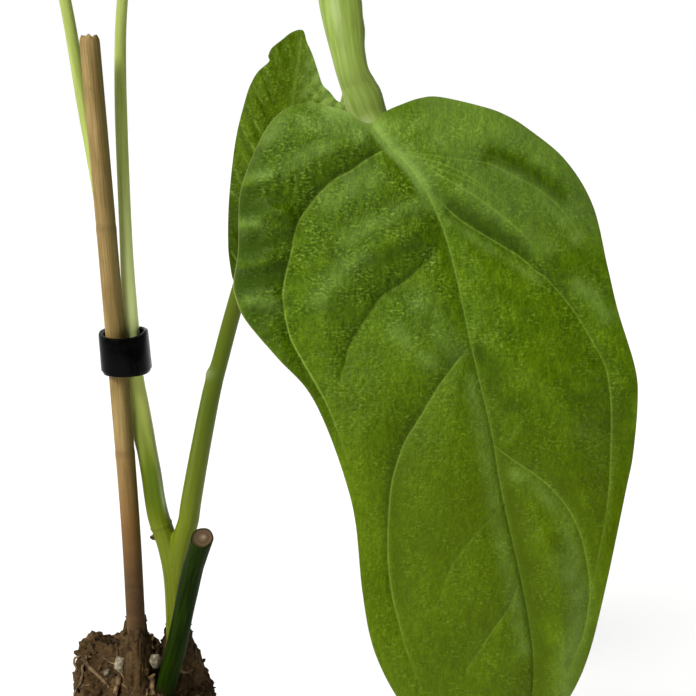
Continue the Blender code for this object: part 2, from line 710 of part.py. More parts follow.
def build():
    for obj in list(bpy.data.objects):
        bpy.data.objects.remove(obj)
    pot()
    root_mix()
    stake()
    stem_clip()
    old_stem()
    shoot()
    pale = material("pale_stalk", (0.36, 0.47, 0.12), 0.4)
    ribbed = material("ribbed_stalk", (0.27, 0.37, 0.08), 0.4)
    stalk("petiole_front", FRONT_STALK_ROUTE, ribbed, sides=12, flat=0.72)
    stalk("petiole_back", BACK_STALK_ROUTE, ribbed, sides=8)
    stalk("petiole_upper_left", UPPER_LEFT_STALK_ROUTE, pale)
    stalk("petiole_upper_centre", UPPER_CENTRE_STALK_ROUTE, pale)
    leaf_blades()


build()
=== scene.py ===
import math
import random

import bmesh
import bpy
import numpy as np
from mathutils import Matrix, Vector, noise
from mathutils.bvhtree import BVHTree
from mathutils.geometry import delaunay_2d_cdt


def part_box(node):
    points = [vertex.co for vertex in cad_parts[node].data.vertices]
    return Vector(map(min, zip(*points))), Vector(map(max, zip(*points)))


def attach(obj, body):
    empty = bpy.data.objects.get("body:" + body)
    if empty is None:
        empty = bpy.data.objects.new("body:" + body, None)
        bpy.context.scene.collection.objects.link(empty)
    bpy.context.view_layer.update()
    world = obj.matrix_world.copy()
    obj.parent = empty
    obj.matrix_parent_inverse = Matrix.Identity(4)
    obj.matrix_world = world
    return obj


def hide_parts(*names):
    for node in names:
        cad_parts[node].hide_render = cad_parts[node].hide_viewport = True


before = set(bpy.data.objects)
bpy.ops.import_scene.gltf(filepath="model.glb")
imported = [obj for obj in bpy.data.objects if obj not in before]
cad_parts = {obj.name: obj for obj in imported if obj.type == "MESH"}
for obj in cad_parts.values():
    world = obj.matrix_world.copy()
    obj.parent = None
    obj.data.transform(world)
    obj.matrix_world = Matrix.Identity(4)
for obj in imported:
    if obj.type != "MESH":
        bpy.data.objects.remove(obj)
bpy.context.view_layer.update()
MM = 0.001


# The pot is a small nursery pot of dark grey polypropylene, injection moulded in one piece.
# It tapers to a flat base with five drain holes, and a thicker band stiffens its rim.
pot_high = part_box("pot")[1] / MM
RIM_RADIUS, POT_HEIGHT = pot_high.x, pot_high.z
BASE_RADIUS = 19.5
POT_WALL = 1.3
POT_FLOOR = 2.0
RIM_BAND = 7.0
RIM_STEP = 1.4
DRAINS = 5
DRAIN_CIRCLE = 12.0
DRAIN_RADIUS = 1.8
DRAIN_TURN = math.radians(41)
RIM_BEAD = 0.7
STEP_HEIGHT = POT_HEIGHT - RIM_BAND
STEP_RADIUS = RIM_RADIUS - RIM_STEP


def linear(hex_colour):
    """The linear colour of an sRGB hex value."""
    shares = [int(hex_colour[i:i + 2], 16) / 255 for i in (1, 3, 5)]
    return (*[c / 12.92 if c <= 0.04045 else ((c + 0.055) / 1.055) ** 2.4 for c in shares], 1.0)


def put(tree, kind, links=None, stops=(), span=(), **settings):
    """Adds a shader node. links sets its inputs to a value, a hex colour, a socket or a node's output.

    stops are a ramp's positions and colours, and span is what a range goes from and to.
    """
    node = tree.nodes.new("ShaderNode" + kind)
    for name, value in settings.items():
        setattr(node, name, value)
    for i, (position, colour) in enumerate(stops):
        stop = node.color_ramp.elements[i] if i < 2 else node.color_ramp.elements.new(position)
        stop.position = position
        stop.color = linear(colour)
    ends = zip(("From Min", "From Max", "To Min", "To Max"), span)
    for name, value in (*(links or {}).items(), *ends):
        if isinstance(name, int):
            socket = node.inputs[name]
        else:
            socket = next(s for s in node.inputs if s.name == name and s.enabled)
        if isinstance(value, str):
            value = linear(value)
        if isinstance(value, bpy.types.Node):
            value = next(s for s in value.outputs if s.enabled)
        if isinstance(value, bpy.types.NodeSocket):
            tree.links.new(value, socket)
        else:
            socket.default_value = value
    return node


def finish(name, ior=1.45, **constants):
    """A new material, its node tree, its shader, and the place in mm that its patterns follow.

    constants are set on the shader's sockets, with _ for a space in their names.
    """
    mat = bpy.data.materials.new(name)
    mat.use_nodes = True
    tree = mat.node_tree
    shader = tree.nodes["Principled BSDF"]
    shader.inputs["IOR"].default_value = ior
    for socket, value in constants.items():
        shader.inputs[socket.replace("_", " ")].default_value = value
    place = put(tree, "Attribute", attribute_name="place").outputs["Vector"]
    return mat, tree, shader, place


def wear(tree, shader, colour=None, roughness=None, bump=None):
    """Links a colour, a roughness and a bump to a shader."""
    for name, node in (("Base Color", colour), ("Roughness", roughness), ("Normal", bump)):
        if node is not None:
            tree.links.new(next(s for s in node.outputs if s.enabled), shader.inputs[name])


def layered(tree, colour, **layers):
    """Lays hex colours over a colour, each as strongly as the field of its name at the piece's points."""
    for field, shade in layers.items():
        share = put(tree, "Attribute", attribute_name=field).outputs["Fac"]
        colour = put(tree, "Mix", {"Factor": share, "A": colour, "B": shade}, data_type="RGBA")
    return colour


def solid(name, points, faces, mat, sharp=math.radians(40)):
    """A mesh object from points in mm, its faces turned outward."""
    mesh = bpy.data.meshes.new(name)
    mesh.from_pydata([Vector(p) * MM for p in points], [], faces)
    bm = bmesh.new()
    bm.from_mesh(mesh)
    bmesh.ops.recalc_face_normals(bm, faces=bm.faces)
    bm.to_mesh(mesh)
    bm.free()
    mesh.shade_smooth()
    mesh.set_sharp_from_angle(angle=sharp)
    mesh.materials.append(mat)
    obj = bpy.data.objects.new(name, mesh)
    bpy.context.scene.collection.objects.link(obj)
    return obj


def apply_modifiers(obj):
    """Turns a piece's modifiers into plain mesh."""
    mesh = bpy.data.meshes.new_from_object(obj.evaluated_get(bpy.context.evaluated_depsgraph_get()))
    obj.modifiers.clear()
    obj.data = mesh


def points_of(obj):
    """A piece's points in mm."""
    flat = np.empty(len(obj.data.vertices) * 3)
    obj.data.vertices.foreach_get("co", flat)
    return flat.reshape(-1, 3) / MM


def move_points(obj, points):
    """Moves a piece's points to places in mm."""
    obj.data.vertices.foreach_set("co", (points * MM).ravel())
    obj.data.update()


def mark(obj, **fields):
    """Keeps values at a piece's points for its material: numbers, or vectors such as place."""
    for name, values in fields.items():
        values = np.asarray(values, dtype=np.float32)
        if values.ndim == 2:
            obj.data.attributes.new(name, "FLOAT_VECTOR", "POINT").data.foreach_set("vector", values.ravel())
        else:
            obj.data.attributes.new(name, "FLOAT", "POINT").data.foreach_set("value", values)


def fit(obj, slot, *nodes):
    """The piece rides on the plant's one body and stands for plain solids, which are hidden. slot is not
    used.
    """
    if "place" not in obj.data.attributes:
        mark(obj, place=points_of(obj))
    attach(obj, "root")
    if nodes:
        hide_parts(*nodes)


def turned(profile, sides):
    """Points and faces of a turned solid from (radius, height) points, closed flat at both ends."""
    turn = np.arange(sides) * 2 * math.pi / sides
    points = [(r * math.cos(t), r * math.sin(t), z) for r, z in profile for t in turn]
    return points, grid_faces(len(profile), sides)


def grid_faces(rings, sides):
    """Faces between rings of points, and one flat face at each end."""
    faces = []
    for i in range(rings - 1):
        for k in range(sides):
            a, b = i * sides + k, i * sides + (k + 1) % sides
            faces.append((a, b, b + sides, a + sides))
    faces.append(tuple(reversed(range(sides))))
    faces.append(tuple(range((rings - 1) * sides, rings * sides)))
    return faces


def arc(centre, radius, start, end, steps=6):
    """Points of a rounded corner in a profile, angles in degrees."""
    turns = [math.radians(start + (end - start) * i / steps) for i in range(steps + 1)]
    return [(centre[0] + radius * math.cos(t), centre[1] + radius * math.sin(t)) for t in turns]


# Moulded polypropylene: an even dark grey with a satin skin, fine mould grain and a film of dried mix.
# The grain is near 0.1 mm on the real pot, drawn at 0.4 mm to show.
def moulded_polypropylene():
    mat, tree, shader, place = finish("moulded_polypropylene", 1.49, Roughness=0.5)
    film = put(tree, "TexNoise", {"Vector": place, "Scale": 1 / 7.0, "Detail": 6.0, "Roughness": 0.7})
    colour = put(tree, "ValToRGB", {"Fac": film},
                 stops=[(0.42, "#2b2c2f"), (0.6, "#343331"), (0.72, "#5a4c3d")])
    rough = put(tree, "MapRange", {"Value": film}, span=(0.4, 0.7, 0.42, 0.8))
    grain = put(tree, "TexNoise", {"Vector": place, "Scale": 1 / 0.4, "Detail": 2.0})
    bump = put(tree, "Bump", {"Height": grain, "Strength": 0.35, "Distance": 0.05 * MM})
    wear(tree, shader, colour, rough, bump)
    return mat


def nursery_pot():
    profile = [(0.5, 0.0)] + arc((BASE_RADIUS - 0.6, 0.6), 0.6, -90, 0)
    profile += [(STEP_RADIUS, STEP_HEIGHT - 0.3)]
    profile += arc((RIM_RADIUS - 0.5, STEP_HEIGHT + 0.5), 0.5, -90, 0)
    profile += arc((RIM_RADIUS - RIM_BEAD, POT_HEIGHT - RIM_BEAD), RIM_BEAD, 0, 180)
    inner = STEP_RADIUS - POT_WALL
    profile += [(inner + 0.7, STEP_HEIGHT + 1.5), (inner, STEP_HEIGHT - 1.0)]
    profile += arc((BASE_RADIUS - POT_WALL - 1.0, POT_FLOOR + 1.0), 1.0, 0, -90)
    profile += [(0.5, POT_FLOOR)]
    mat = moulded_polypropylene()
    pot = solid("pot_shell", *turned(profile, 120), mat)
    for k in range(DRAINS):
        turn = DRAIN_TURN + 2 * math.pi * k / DRAINS
        points, faces = turned([(DRAIN_RADIUS, -1.0), (DRAIN_RADIUS, POT_FLOOR + 1.0)], 24)
        centre = Vector((DRAIN_CIRCLE * math.cos(turn), DRAIN_CIRCLE * math.sin(turn), 0))
        drill = solid("drain", [Vector(p) + centre for p in points], faces, mat)
        hole = pot.modifiers.new("drain", "BOOLEAN")
        hole.operation = "DIFFERENCE"
        hole.object = drill
        apply_modifiers(pot)
        bpy.data.objects.remove(drill)
    pot.data.set_sharp_from_angle(angle=math.radians(50))
    fit(pot, "pot_plastic", "pot")


nursery_pot()


# The growing mix is bark chips and peat, bound by roots into the plug that the plant was raised in.
# It fills the pot and stands proud of it, heaped against the stems, with white perlite in it.
MIX_LEVEL = 45.5
BALL_RADIUS = 20.4
BALL_TOP = 76.0
# The top's slope to the right and to the back, how rough the plug is in mm, and the share of its width
# that the top loses on its right and on its left
BALL_TILT = (-0.15, 0.2)
BALL_ROUGHNESS = 0.8
RIGHT_TAPER = 0.3
LEFT_TAPER = 0.03
# Where the heaped top starts and the height over which it comes in
HEAP_START = 66.0
HEAP_RISE = 8.0
# The plug's side above the pot, as (distance out from its radius, height)
BALL_SIDE = (
    (1.8, 47.5), (0.7, 52.0), (0.3, 57.0), (0.1, 62.0), (0.0, 66.5),
    (-0.2, 70.5), (-0.6, 73.6), (-1.7, 75.2), (-4.0, 75.8),
)
# Mounds and hollows of its top: x, y, height, width
MOUNDS = (
    (12.6, 3.5, 16.0, 7.8),
    (-0.8, -4.5, 19.0, 4.6),
    (-21.0, 4.0, 5.0, 8.8),
    (-6.5, -1.0, 3.2, 5.0),
    (-9.2, 1.8, 2.4, 3.8),
    (4.0, 15.0, -6.2, 6.0),
)
MIX_SIDES = 240

# The eye of the photograph: where it stands, how far it looks down, and its focal length in pixels
EYE = Vector((59.5, -312.4, 230.7))
EYE_PITCH = math.radians(11)
EYE_FOCUS = 1152.0
FRAME_SIZE = 696.0


def curve(points, step, closed=False):
    """Points about one step apart along a smooth curve through the given points, of any dimension."""
    points = np.array(points, dtype=float)
    count = len(points)
    result = []
    for i in range(count if closed else count - 1):
        b, c = points[i], points[(i + 1) % count]
        if closed:
            a, d = points[i - 1], points[(i + 2) % count]
        else:
            a = points[i - 1] if i else b * 2 - c
            d = points[i + 2] if i + 2 < count else c * 2 - b
        pieces = max(1, round(np.linalg.norm((c - b)[:3]) / step))
        t = (np.arange(pieces) / pieces)[:, None]
        result.append(0.5 * (2 * b + (c - a) * t + (2 * a - 5 * b + 4 * c - d) * t ** 2
                             + (3 * b - a - 3 * c + d) * t ** 3))
    if not closed:
        result.append(points[-1:])
    return np.concatenate(result)


def rising(value, start, run, low=0.0):
    """0, or low, up to a start, and from there up to 1 over a run. A negative run goes the other way."""
    return np.clip((value - start) / run, low, 1)


def mix_place(p):
    """Where a point of the plain turned plug lies once it is roughened, tilted and heaped."""
    radius = math.hypot(p.x, p.y)
    proud = rising(p.z, MIX_LEVEL, 8.0)
    rough = noise.noise(p * 0.16) + 0.6 * noise.noise(p * 0.37)
    grow = 1 + BALL_ROUGHNESS * proud * rough / max(radius, 6.0)
    top = rising(p.z, HEAP_START, HEAP_RISE)
    level = p.z + top * (BALL_TILT[0] * p.x + BALL_TILT[1] * p.y + 1.2 * rough - 1.0)
    for x, y, height, width in MOUNDS:
        near = ((p.x - x) ** 2 + (p.y - y) ** 2) / width ** 2
        level += top * height * math.exp(-near * near)
    taper = RIGHT_TAPER * p.x / BALL_RADIUS if p.x > 0 else LEFT_TAPER * (p.x / BALL_RADIUS) ** 2
    return Vector((p.x * grow * (1 - top * taper), p.y * grow, level))


# Damp peat and bark crumbs, no gloss: brown where dry, near black in damp patches and, as painted shade, in
# hollows.
def damp_mix():
    mat, tree, shader, place = finish("damp_mix", 1.4, Roughness=0.95, Specular_IOR_Level=0.2)
    crumb = put(tree, "TexNoise", {"Vector": place, "Scale": 1 / 1.6, "Detail": 8.0, "Roughness": 0.7})
    patch = put(tree, "TexNoise", {"Vector": place, "Scale": 1 / 9.0, "Detail": 3.0})
    # The colour follows the crumbs' relief, so their hollows carry painted shade
    tone = put(tree, "Math", {0: crumb, 1: patch}, operation="ADD")
    half = put(tree, "Math", {0: tone, 1: 0.5}, operation="MULTIPLY")
    colour = put(tree, "ValToRGB", {"Fac": half},
                 stops=[(0.34, "#251a0a"), (0.45, "#3d2d18"), (0.54, "#523f26"), (0.68, "#6a563a")])
    bump = put(tree, "Bump", {"Height": crumb, "Strength": 0.9, "Distance": 0.5 * MM})
    wear(tree, shader, colour, None, bump)
    return mat


# Bark chips: torn flakes from dark to tan, each of one tone, with a fibrous dull face.
def torn_bark():
    mat, tree, shader, place = finish("torn_bark", 1.4, Roughness=0.88, Specular_IOR_Level=0.2)
    fibre = put(tree, "TexNoise", {"Vector": place, "Scale": 1 / 0.9, "Detail": 6.0, "Roughness": 0.7})
    tone = put(tree, "Attribute", attribute_name="tone").outputs["Fac"]
    mixed = put(tree, "MapRange", {"Value": fibre}, span=(0.3, 0.7, -0.2, 0.2))
    shade = put(tree, "Math", {0: tone, 1: mixed}, operation="ADD")
    colour = put(tree, "ValToRGB", {"Fac": shade},
                 stops=[(0.0, "#281b0b"), (0.35, "#3a2b15"), (0.7, "#544027"), (1.0, "#735d3e")])
    bump = put(tree, "Bump", {"Height": fibre, "Strength": 0.8, "Distance": 0.3 * MM})
    wear(tree, shader, colour, None, bump)
    return mat


# Perlite: white popped glass beads with a dusty, pitted skin, stained where the mix touches them.
def popped_perlite():
    mat, tree, shader, place = finish("popped_perlite", 1.5, Roughness=0.85)
    blots = put(tree, "TexNoise", {"Vector": place, "Scale": 1 / 1.3, "Detail": 5.0})
    clean = put(tree, "Attribute", attribute_name="tone").outputs["Fac"]
    soiled = put(tree, "Math", {0: clean, 1: 1.0}, operation="SUBTRACT")
    stain = put(tree, "Math", {0: blots, 1: soiled}, operation="ADD")
    colour = put(tree, "ValToRGB", {"Fac": stain},
                 stops=[(0.36, "#5f5440"), (0.5, "#898066"), (0.64, "#aba38d")])
    pits = put(tree, "TexVoronoi", {"Vector": place, "Scale": 1 / 0.5})
    bump = put(tree, "Bump", {"Height": pits.outputs["Distance"], "Strength": 0.6, "Distance": 0.2 * MM})
    wear(tree, shader, colour, None, bump)
    return mat


# Young roots: pale tan, matte, darker where mix clings to them.
def root_skin():
    mat, tree, shader, place = finish("root_skin", 1.4, Roughness=0.7)
    cling = put(tree, "TexNoise", {"Vector": place, "Scale": 1 / 2.2, "Detail": 5.0})
    colour = put(tree, "ValToRGB", {"Fac": cling},
                 stops=[(0.4, "#43311c"), (0.52, "#6a5233"), (0.66, "#8a704a")])
    wear(tree, shader, colour)
    return mat


def mix_body():
    wide = STEP_RADIUS - POT_WALL - 0.3
    base = POT_FLOOR + 0.3
    hidden = [(1.0, base), (BASE_RADIUS - POT_WALL - 0.4, base), (wide - 0.15, STEP_HEIGHT - 1.2)]
    hidden += [(wide + 0.3, MIX_LEVEL - 0.6), (wide - 0.5, MIX_LEVEL)]
    proud = [(BALL_RADIUS + out, z) for out, z in BALL_SIDE] + [(13.0, BALL_TOP), (0.4, BALL_TOP)]
    profile = hidden + [tuple(p) for p in curve(proud, 0.45)]
    points, faces = turned(profile, MIX_SIDES)
    body = solid("mix_body", [mix_place(Vector(p)) for p in points], faces, damp_mix(), math.radians(180))
    points = points_of(body)
    normals = np.array([n.vector for n in body.data.vertex_normals])
    for i, p in enumerate(points):
        if p[2] > MIX_LEVEL + 1.5:
            spot = Vector(p)
            # Clods of about 2.4 mm with cracks between them, and crumbs on them
            near, cells = noise.voronoi(spot * 0.42)
            clod = noise.noise(cells[0] * 3.1)
            crack = math.exp(-((near[1] - near[0]) / 0.12) ** 2)
            crumb = noise.noise(spot * 0.9) + 0.5 * noise.noise(spot * 2.1)
            points[i] += normals[i] * (0.75 * clod - 0.6 * crack + 0.35 * crumb)
    move_points(body, points)
    fit(body, "growing_mix", "root_ball")
    return body


mix = mix_body()
mix_faces = [tuple(f.vertices) for f in mix.data.polygons]
mix_tree = BVHTree.FromPolygons([Vector(p) for p in points_of(mix)], mix_faces)


def on_mix(px, py):
    """The spot on the mix that the photograph shows at a pixel."""
    flat = Vector((px - FRAME_SIZE / 2, FRAME_SIZE / 2 - py, -EYE_FOCUS))
    ray = Matrix.Rotation(math.pi / 2 - EYE_PITCH, 3, "X") @ flat
    spot, normal, _, _ = mix_tree.ray_cast(EYE, ray.normalized())
    return spot, normal


def strewn(rng, count, low=MIX_LEVEL + 3.0):
    """Seeded spots on the proud part of the mix, with the way out there."""
    faces = [f for f in mix.data.polygons if f.center.z > low * MM]
    for face in rng.choices(faces, weights=[f.area for f in faces], k=count):
        yield Vector(face.center) / MM, Vector(face.normal)


def join_shapes(name, shapes, mat, sharp=math.radians(40)):
    """One piece from many small shapes of (points, faces, tone)."""
    points, faces, tones = [], [], []
    for shape_points, shape_faces, tone in shapes:
        start = len(points)
        points += shape_points
        faces += [tuple(start + i for i in face) for face in shape_faces]
        tones += [tone] * len(shape_points)
    obj = solid(name, points, faces, mat, sharp)
    mark(obj, tone=tones)
    return obj


# Corners that a chip of bark is torn to, and how deep it lies in the mix
FLAKE_CORNERS = 13
FLAKE_SINK = 0.1


def flake(rng, spot, out, size):
    """A torn flake: the hull of a few random points in a flat box that lies along the surface."""
    along = out.orthogonal().normalized()
    along.rotate(Matrix.Rotation(rng.uniform(0, 6.28), 3, out))
    across = out.cross(along)
    bm = bmesh.new()
    for _ in range(FLAKE_CORNERS):
        x, y, z = (rng.uniform(-0.5, 0.5) for _ in range(3))
        bm.verts.new(spot + along * x * size[0] + across * y * size[1] + out * (z * size[2] - FLAKE_SINK))
    hull = bmesh.ops.convex_hull(bm, input=bm.verts)
    bmesh.ops.delete(bm, geom=[e for e in hull["geom_interior"] if isinstance(e, bmesh.types.BMVert)])
    bm.verts.index_update()
    points = [v.co.copy() for v in bm.verts]
    faces = [tuple(v.index for v in f.verts) for f in bm.faces]
    bm.free()
    return points, faces


def bead(rng, spot, size):
    """A lumpy bead of (width, depth, height)."""
    bm = bmesh.new()
    bmesh.ops.create_icosphere(bm, subdivisions=3, radius=0.5)
    shift = Vector((rng.uniform(0, 50), rng.uniform(0, 50), rng.uniform(0, 50)))
    points = []
    for v in bm.verts:
        swell = 1 + 0.35 * noise.noise(v.co * 3.2 + shift) + 0.12 * noise.noise(v.co * 9 + shift)
        points.append(spot + Vector((v.co.x * size[0], v.co.y * size[1], v.co.z * size[2])) * swell)
    faces = [tuple(v.index for v in f.verts) for f in bm.faces]
    bm.free()
    return points, faces


def frames_along(centres):
    """The way to the side and to the front at each point of a line, and how far along it the point is."""
    tangents = np.gradient(centres, axis=0)
    tangents /= np.linalg.norm(tangents, axis=1, keepdims=True)
    side = np.array([1.0, 0, 0]) - tangents * tangents[:, :1]
    side /= np.linalg.norm(side, axis=1, keepdims=True)
    runs = np.concatenate([[0.0], np.cumsum(np.linalg.norm(np.diff(centres, axis=0), axis=1))])
    return side, np.cross(tangents, side), runs


def tube(route, sides, step, section=None, flat=1.0):
    """Points, faces and straightened places of a stalk along (x, y, z, radius).

    section gives a share of the radius for a turn and a distance along. Turn 0 looks to +X, and the
    photograph's side is at minus a quarter turn. flat is its depth over its width.
    """
    path = curve(route, step)
    centres, radii = path[:, :3], path[:, 3:4]
    side, front, runs = frames_along(centres)
    turn = np.arange(sides)[None, :] * 2 * math.pi / sides
    along = np.repeat(runs[:, None], sides, axis=1)
    share = section(turn, along) if section else 1.0
    x = np.cos(turn) * radii * share
    y = np.sin(turn) * radii * share * flat
    points = centres[:, None] + side[:, None] * x[..., None] + front[:, None] * y[..., None]
    place = np.stack([x, y, along], axis=2).reshape(-1, 3)
    return points.reshape(-1, 3), grid_faces(len(path), sides), place


# What the photograph shows on the mix, by pixel: perlite with its width, height and way out of the mix
# in mm and how clean it is, and roots with their radius
SEEN_PERLITE = {
    (120.5, 664): (3.5, 4.5, 1.0, 0.97),
    (155.5, 661): (3.5, 4.2, 3.2, 0.93),
    (107, 673): (2.0, 2.2, 0.4, 0.8),
}
SEEN_ROOTS = (
    (1.0, ((151, 675), (151, 680), (152, 688), (153, 696))),
    (0.9, ((119, 679), (118, 685), (117, 690), (116, 696))),
    (0.7, ((82, 658), (90, 668), (99, 677), (108, 688))),
    (0.5, ((165, 660), (176, 666), (184, 672), (192, 670))),
)
# How the seen roots thin toward their tips, how high roots climb, and how many chips, beads and roots
# are strewn, of what length, size and radius in mm
ROOT_THINNING = (1.15, 0.85, 0.8, 0.7)
ROOT_TOP = 80.0
CHIPS = 520
CHIP_LENGTH = (1.2, 3.6)
BEADS = 60
BEAD_SIZE = (1.2, 3.0)
ROOTS = 44
ROOT_RADIUS = (0.16, 0.42)


def mix_pieces():
    rng = random.Random(41)
    bark = torn_bark()
    chips = []
    # Chips of bark, darker on the right
    for spot, out in strewn(rng, CHIPS):
        long = rng.uniform(*CHIP_LENGTH)
        size = (long, long * rng.uniform(0.35, 0.8), rng.uniform(0.35, 0.8))
        lean = Vector([rng.uniform(-1, 1) for _ in range(3)])
        tilted = (out + lean * 0.22).normalized()
        tone = 0.2 + 0.6 * rng.betavariate(2, 2.6) - 0.25 * rising(spot.x, 0.0, 12.0)
        chips.append((*flake(rng, spot, tilted, size), tone))
    fit(join_shapes("bark_chips", chips, bark, math.radians(30)), "growing_mix")
    beads = []
    # Perlite: the beads that the photograph shows, then strewn ones
    for (px, py), (width, height, proud, clean) in SEEN_PERLITE.items():
        spot, out = on_mix(px, py)
        toward = (EYE - spot).normalized()
        beads.append((*bead(rng, spot + toward * proud, (width, width, height)), clean))
    for spot, out in strewn(rng, BEADS):
        size = rng.uniform(*BEAD_SIZE)
        # None where the photograph shows the place of each
        if out.y < 0.3 and spot.z > 53.0 or spot.z > 70.0:
            continue
        sizes = (size, size * rng.uniform(0.7, 1), size * rng.uniform(0.6, 1))
        beads.append((*bead(rng, spot, sizes), 1.0))
    fit(join_shapes("perlite", beads, popped_perlite(), math.radians(180)), "growing_mix")
    roots = []
    # Roots: those that the photograph shows, then others that creep over the plug
    for radius, pixels in SEEN_ROOTS:
        spots = [on_mix(px, py) for px, py in pixels]
        route = [(*(spot + out * radius * 0.7), radius * share)
                 for (spot, out), share in zip(spots, ROOT_THINNING)]
        roots.append((*tube(route, 10, 0.6)[:2], 1.0))
    for spot, out in strewn(rng, ROOTS, MIX_LEVEL + 6.0):
        heading = out.orthogonal().normalized()
        heading.rotate(Matrix.Rotation(rng.uniform(0, 6.28), 3, out))
        radius = rng.uniform(*ROOT_RADIUS)
        route = []
        for _ in range(rng.randint(5, 11)):
            spot, out, _, _ = mix_tree.find_nearest(spot + heading * 1.7)
            heading += Vector((rng.uniform(-1, 1), rng.uniform(-1, 1), rng.uniform(-1, 0.6))) * 0.45
            heading = (heading - out * heading.dot(out)).normalized()
            if not MIX_LEVEL + 2.0 < spot.z < ROOT_TOP:
                break
            route.append((*(spot + out * radius * rng.uniform(0.0, 1.6)), radius))
        if len(route) > 3:
            roots.append((*tube(route, 7, 0.8)[:2], 1.0))
    shapes = [([Vector(p) for p in points], faces, tone) for points, faces, tone in roots]
    fit(join_shapes("fine_roots", shapes, root_skin()), "growing_mix")


mix_pieces()


# The old stem is the cutting that the plant grew from, sawn off on a slant above the mix.
# Its cut has healed to brown cork with a paler ring and core, and its skin is glossy dark green.
OLD_STEM_ROUTE = [
    (6.2, -6.6, 58.0, 2.8),
    (7.4, -8.0, 72.0, 2.9),
    (12.3, -14.0, 90.1, 2.8),
    (17.9, -25.0, 113.0, 2.75),
    (20.2, -29.6, 120.5, 2.75),
    (22.4, -34.0, 127.3, 2.8),
]
# The way that the cut faces
OLD_STEM_CUT = np.array([0.08, -0.70, 0.71])
# The cut's heart lies off its middle
CUT_HEART = np.array([0.5, 0.3, 0.3])
# Rings of the cut, from its rim inward: share of the radius, and height above the cut's plane
CUT_RINGS = (
    (0.97, 0.12), (0.9, 0.2), (0.8, 0.1), (0.68, -0.12),
    (0.5, -0.2), (0.34, -0.14), (0.18, 0.02), (0.05, 0.05),
)


# Stem skin, mature: near-black green with fine lengthwise streaks and a waxy gloss.
def mature_stem_skin():
    mat, tree, shader, place = finish("mature_stem_skin", 1.45, Specular_IOR_Level=0.03)
    streaks = put(tree, "Mapping", {"Vector": place, "Scale": (1 / 0.7, 1 / 0.7, 1 / 14.0)})
    grain = put(tree, "TexNoise", {"Vector": streaks, "Scale": 1.0, "Detail": 5.0})
    green = put(tree, "ValToRGB", {"Fac": grain},
                stops=[(0.35, "#111d00"), (0.55, "#172800"), (0.75, "#213501")])
    height = put(tree, "SeparateXYZ", {"Vector": place}).outputs["Z"]
    scurf = put(tree, "TexNoise", {"Vector": place, "Scale": 1 / 1.8, "Detail": 6.0})
    low = put(tree, "MapRange", {"Value": height}, span=(9.0, 22.0, 0.75, 0.0))
    soiled = put(tree, "Math", {0: low, 1: scurf}, operation="MULTIPLY")
    soil = put(tree, "MapRange", {"Value": soiled}, span=(0.12, 0.4))
    dirty = put(tree, "Mix", {"Factor": soil, "A": green, "B": "#33281a"}, data_type="RGBA")
    cut = put(tree, "Attribute", attribute_name="cut").outputs["Fac"]
    cork = put(tree, "ValToRGB", {"Fac": cut},
               stops=[(0.06, "#2a2c0c"), (0.13, "#3b3022"), (0.34, "#5f4c38"), (0.5, "#4f3f2d"),
                      (0.78, "#6a5844"), (0.95, "#877862")])
    fleck = put(tree, "TexNoise", {"Vector": place, "Scale": 1 / 0.5, "Detail": 4.0})
    dull = put(tree, "Mix", {"Factor": 0.35, "A": cork, "B": fleck.outputs["Color"]},
               data_type="RGBA", blend_type="SOFT_LIGHT")
    on_cut = put(tree, "MapRange", {"Value": cut}, span=(0.05, 0.14))
    colour = put(tree, "Mix", {"Factor": on_cut, "A": dirty, "B": dull}, data_type="RGBA")
    rough = put(tree, "MapRange", {"Value": on_cut}, span=(0, 1, 0.55, 0.85))
    bump = put(tree, "Bump", {"Height": fleck, "Strength": 0.3, "Distance": 0.1 * MM})
    wear(tree, shader, colour, rough, bump)
    return mat


def cut_stem():
    sides = 48

    def section(turn, along):
        return 1 + 0.02 * np.sin(turn * 5 + along / 9) + 0.02 * np.sin(along / 4.0)

    points, _, place = tube(OLD_STEM_ROUTE, sides, 0.6, section)
    rings = len(points) // sides
    end = points[-sides:]
    centre = end.mean(axis=0)
    tangent = np.array(OLD_STEM_ROUTE[-1][:3]) - np.array(OLD_STEM_ROUTE[-2][:3])
    tangent /= np.linalg.norm(tangent)
    length = place[-1, 2]
    # The end is sheared onto the cut's plane, and rings of cork close it
    shear = np.clip((place[:, 2] - length + 4.0) / 4.0, 0, 1) ** 2
    middles = points.reshape(rings, sides, 3).mean(axis=1).repeat(sides, axis=0)
    lean = (points - middles) @ OLD_STEM_CUT
    points = points - tangent * (lean / (tangent @ OLD_STEM_CUT) * shear)[:, None]
    end = points[-sides:]
    cut = np.zeros(len(points))
    for share, height in CUT_RINGS:
        ring = centre + CUT_HEART * (1 - share) + (end - centre) * share + OLD_STEM_CUT * height
        points = np.vstack([points, ring])
        depth = np.full((sides, 1), length + 1 - share)
        place = np.vstack([place, np.hstack([ring[:, :2] - centre[:2], depth])])
        cut = np.append(cut, np.full(sides, 1.0 - share))
    faces = grid_faces(rings + len(CUT_RINGS), sides)
    stem = solid("old_cut_stem", points, faces, mature_stem_skin(), math.radians(60))
    mark(stem, place=place, cut=cut)
    fit(stem, "old_stem_skin", "old_stem")


cut_stem()


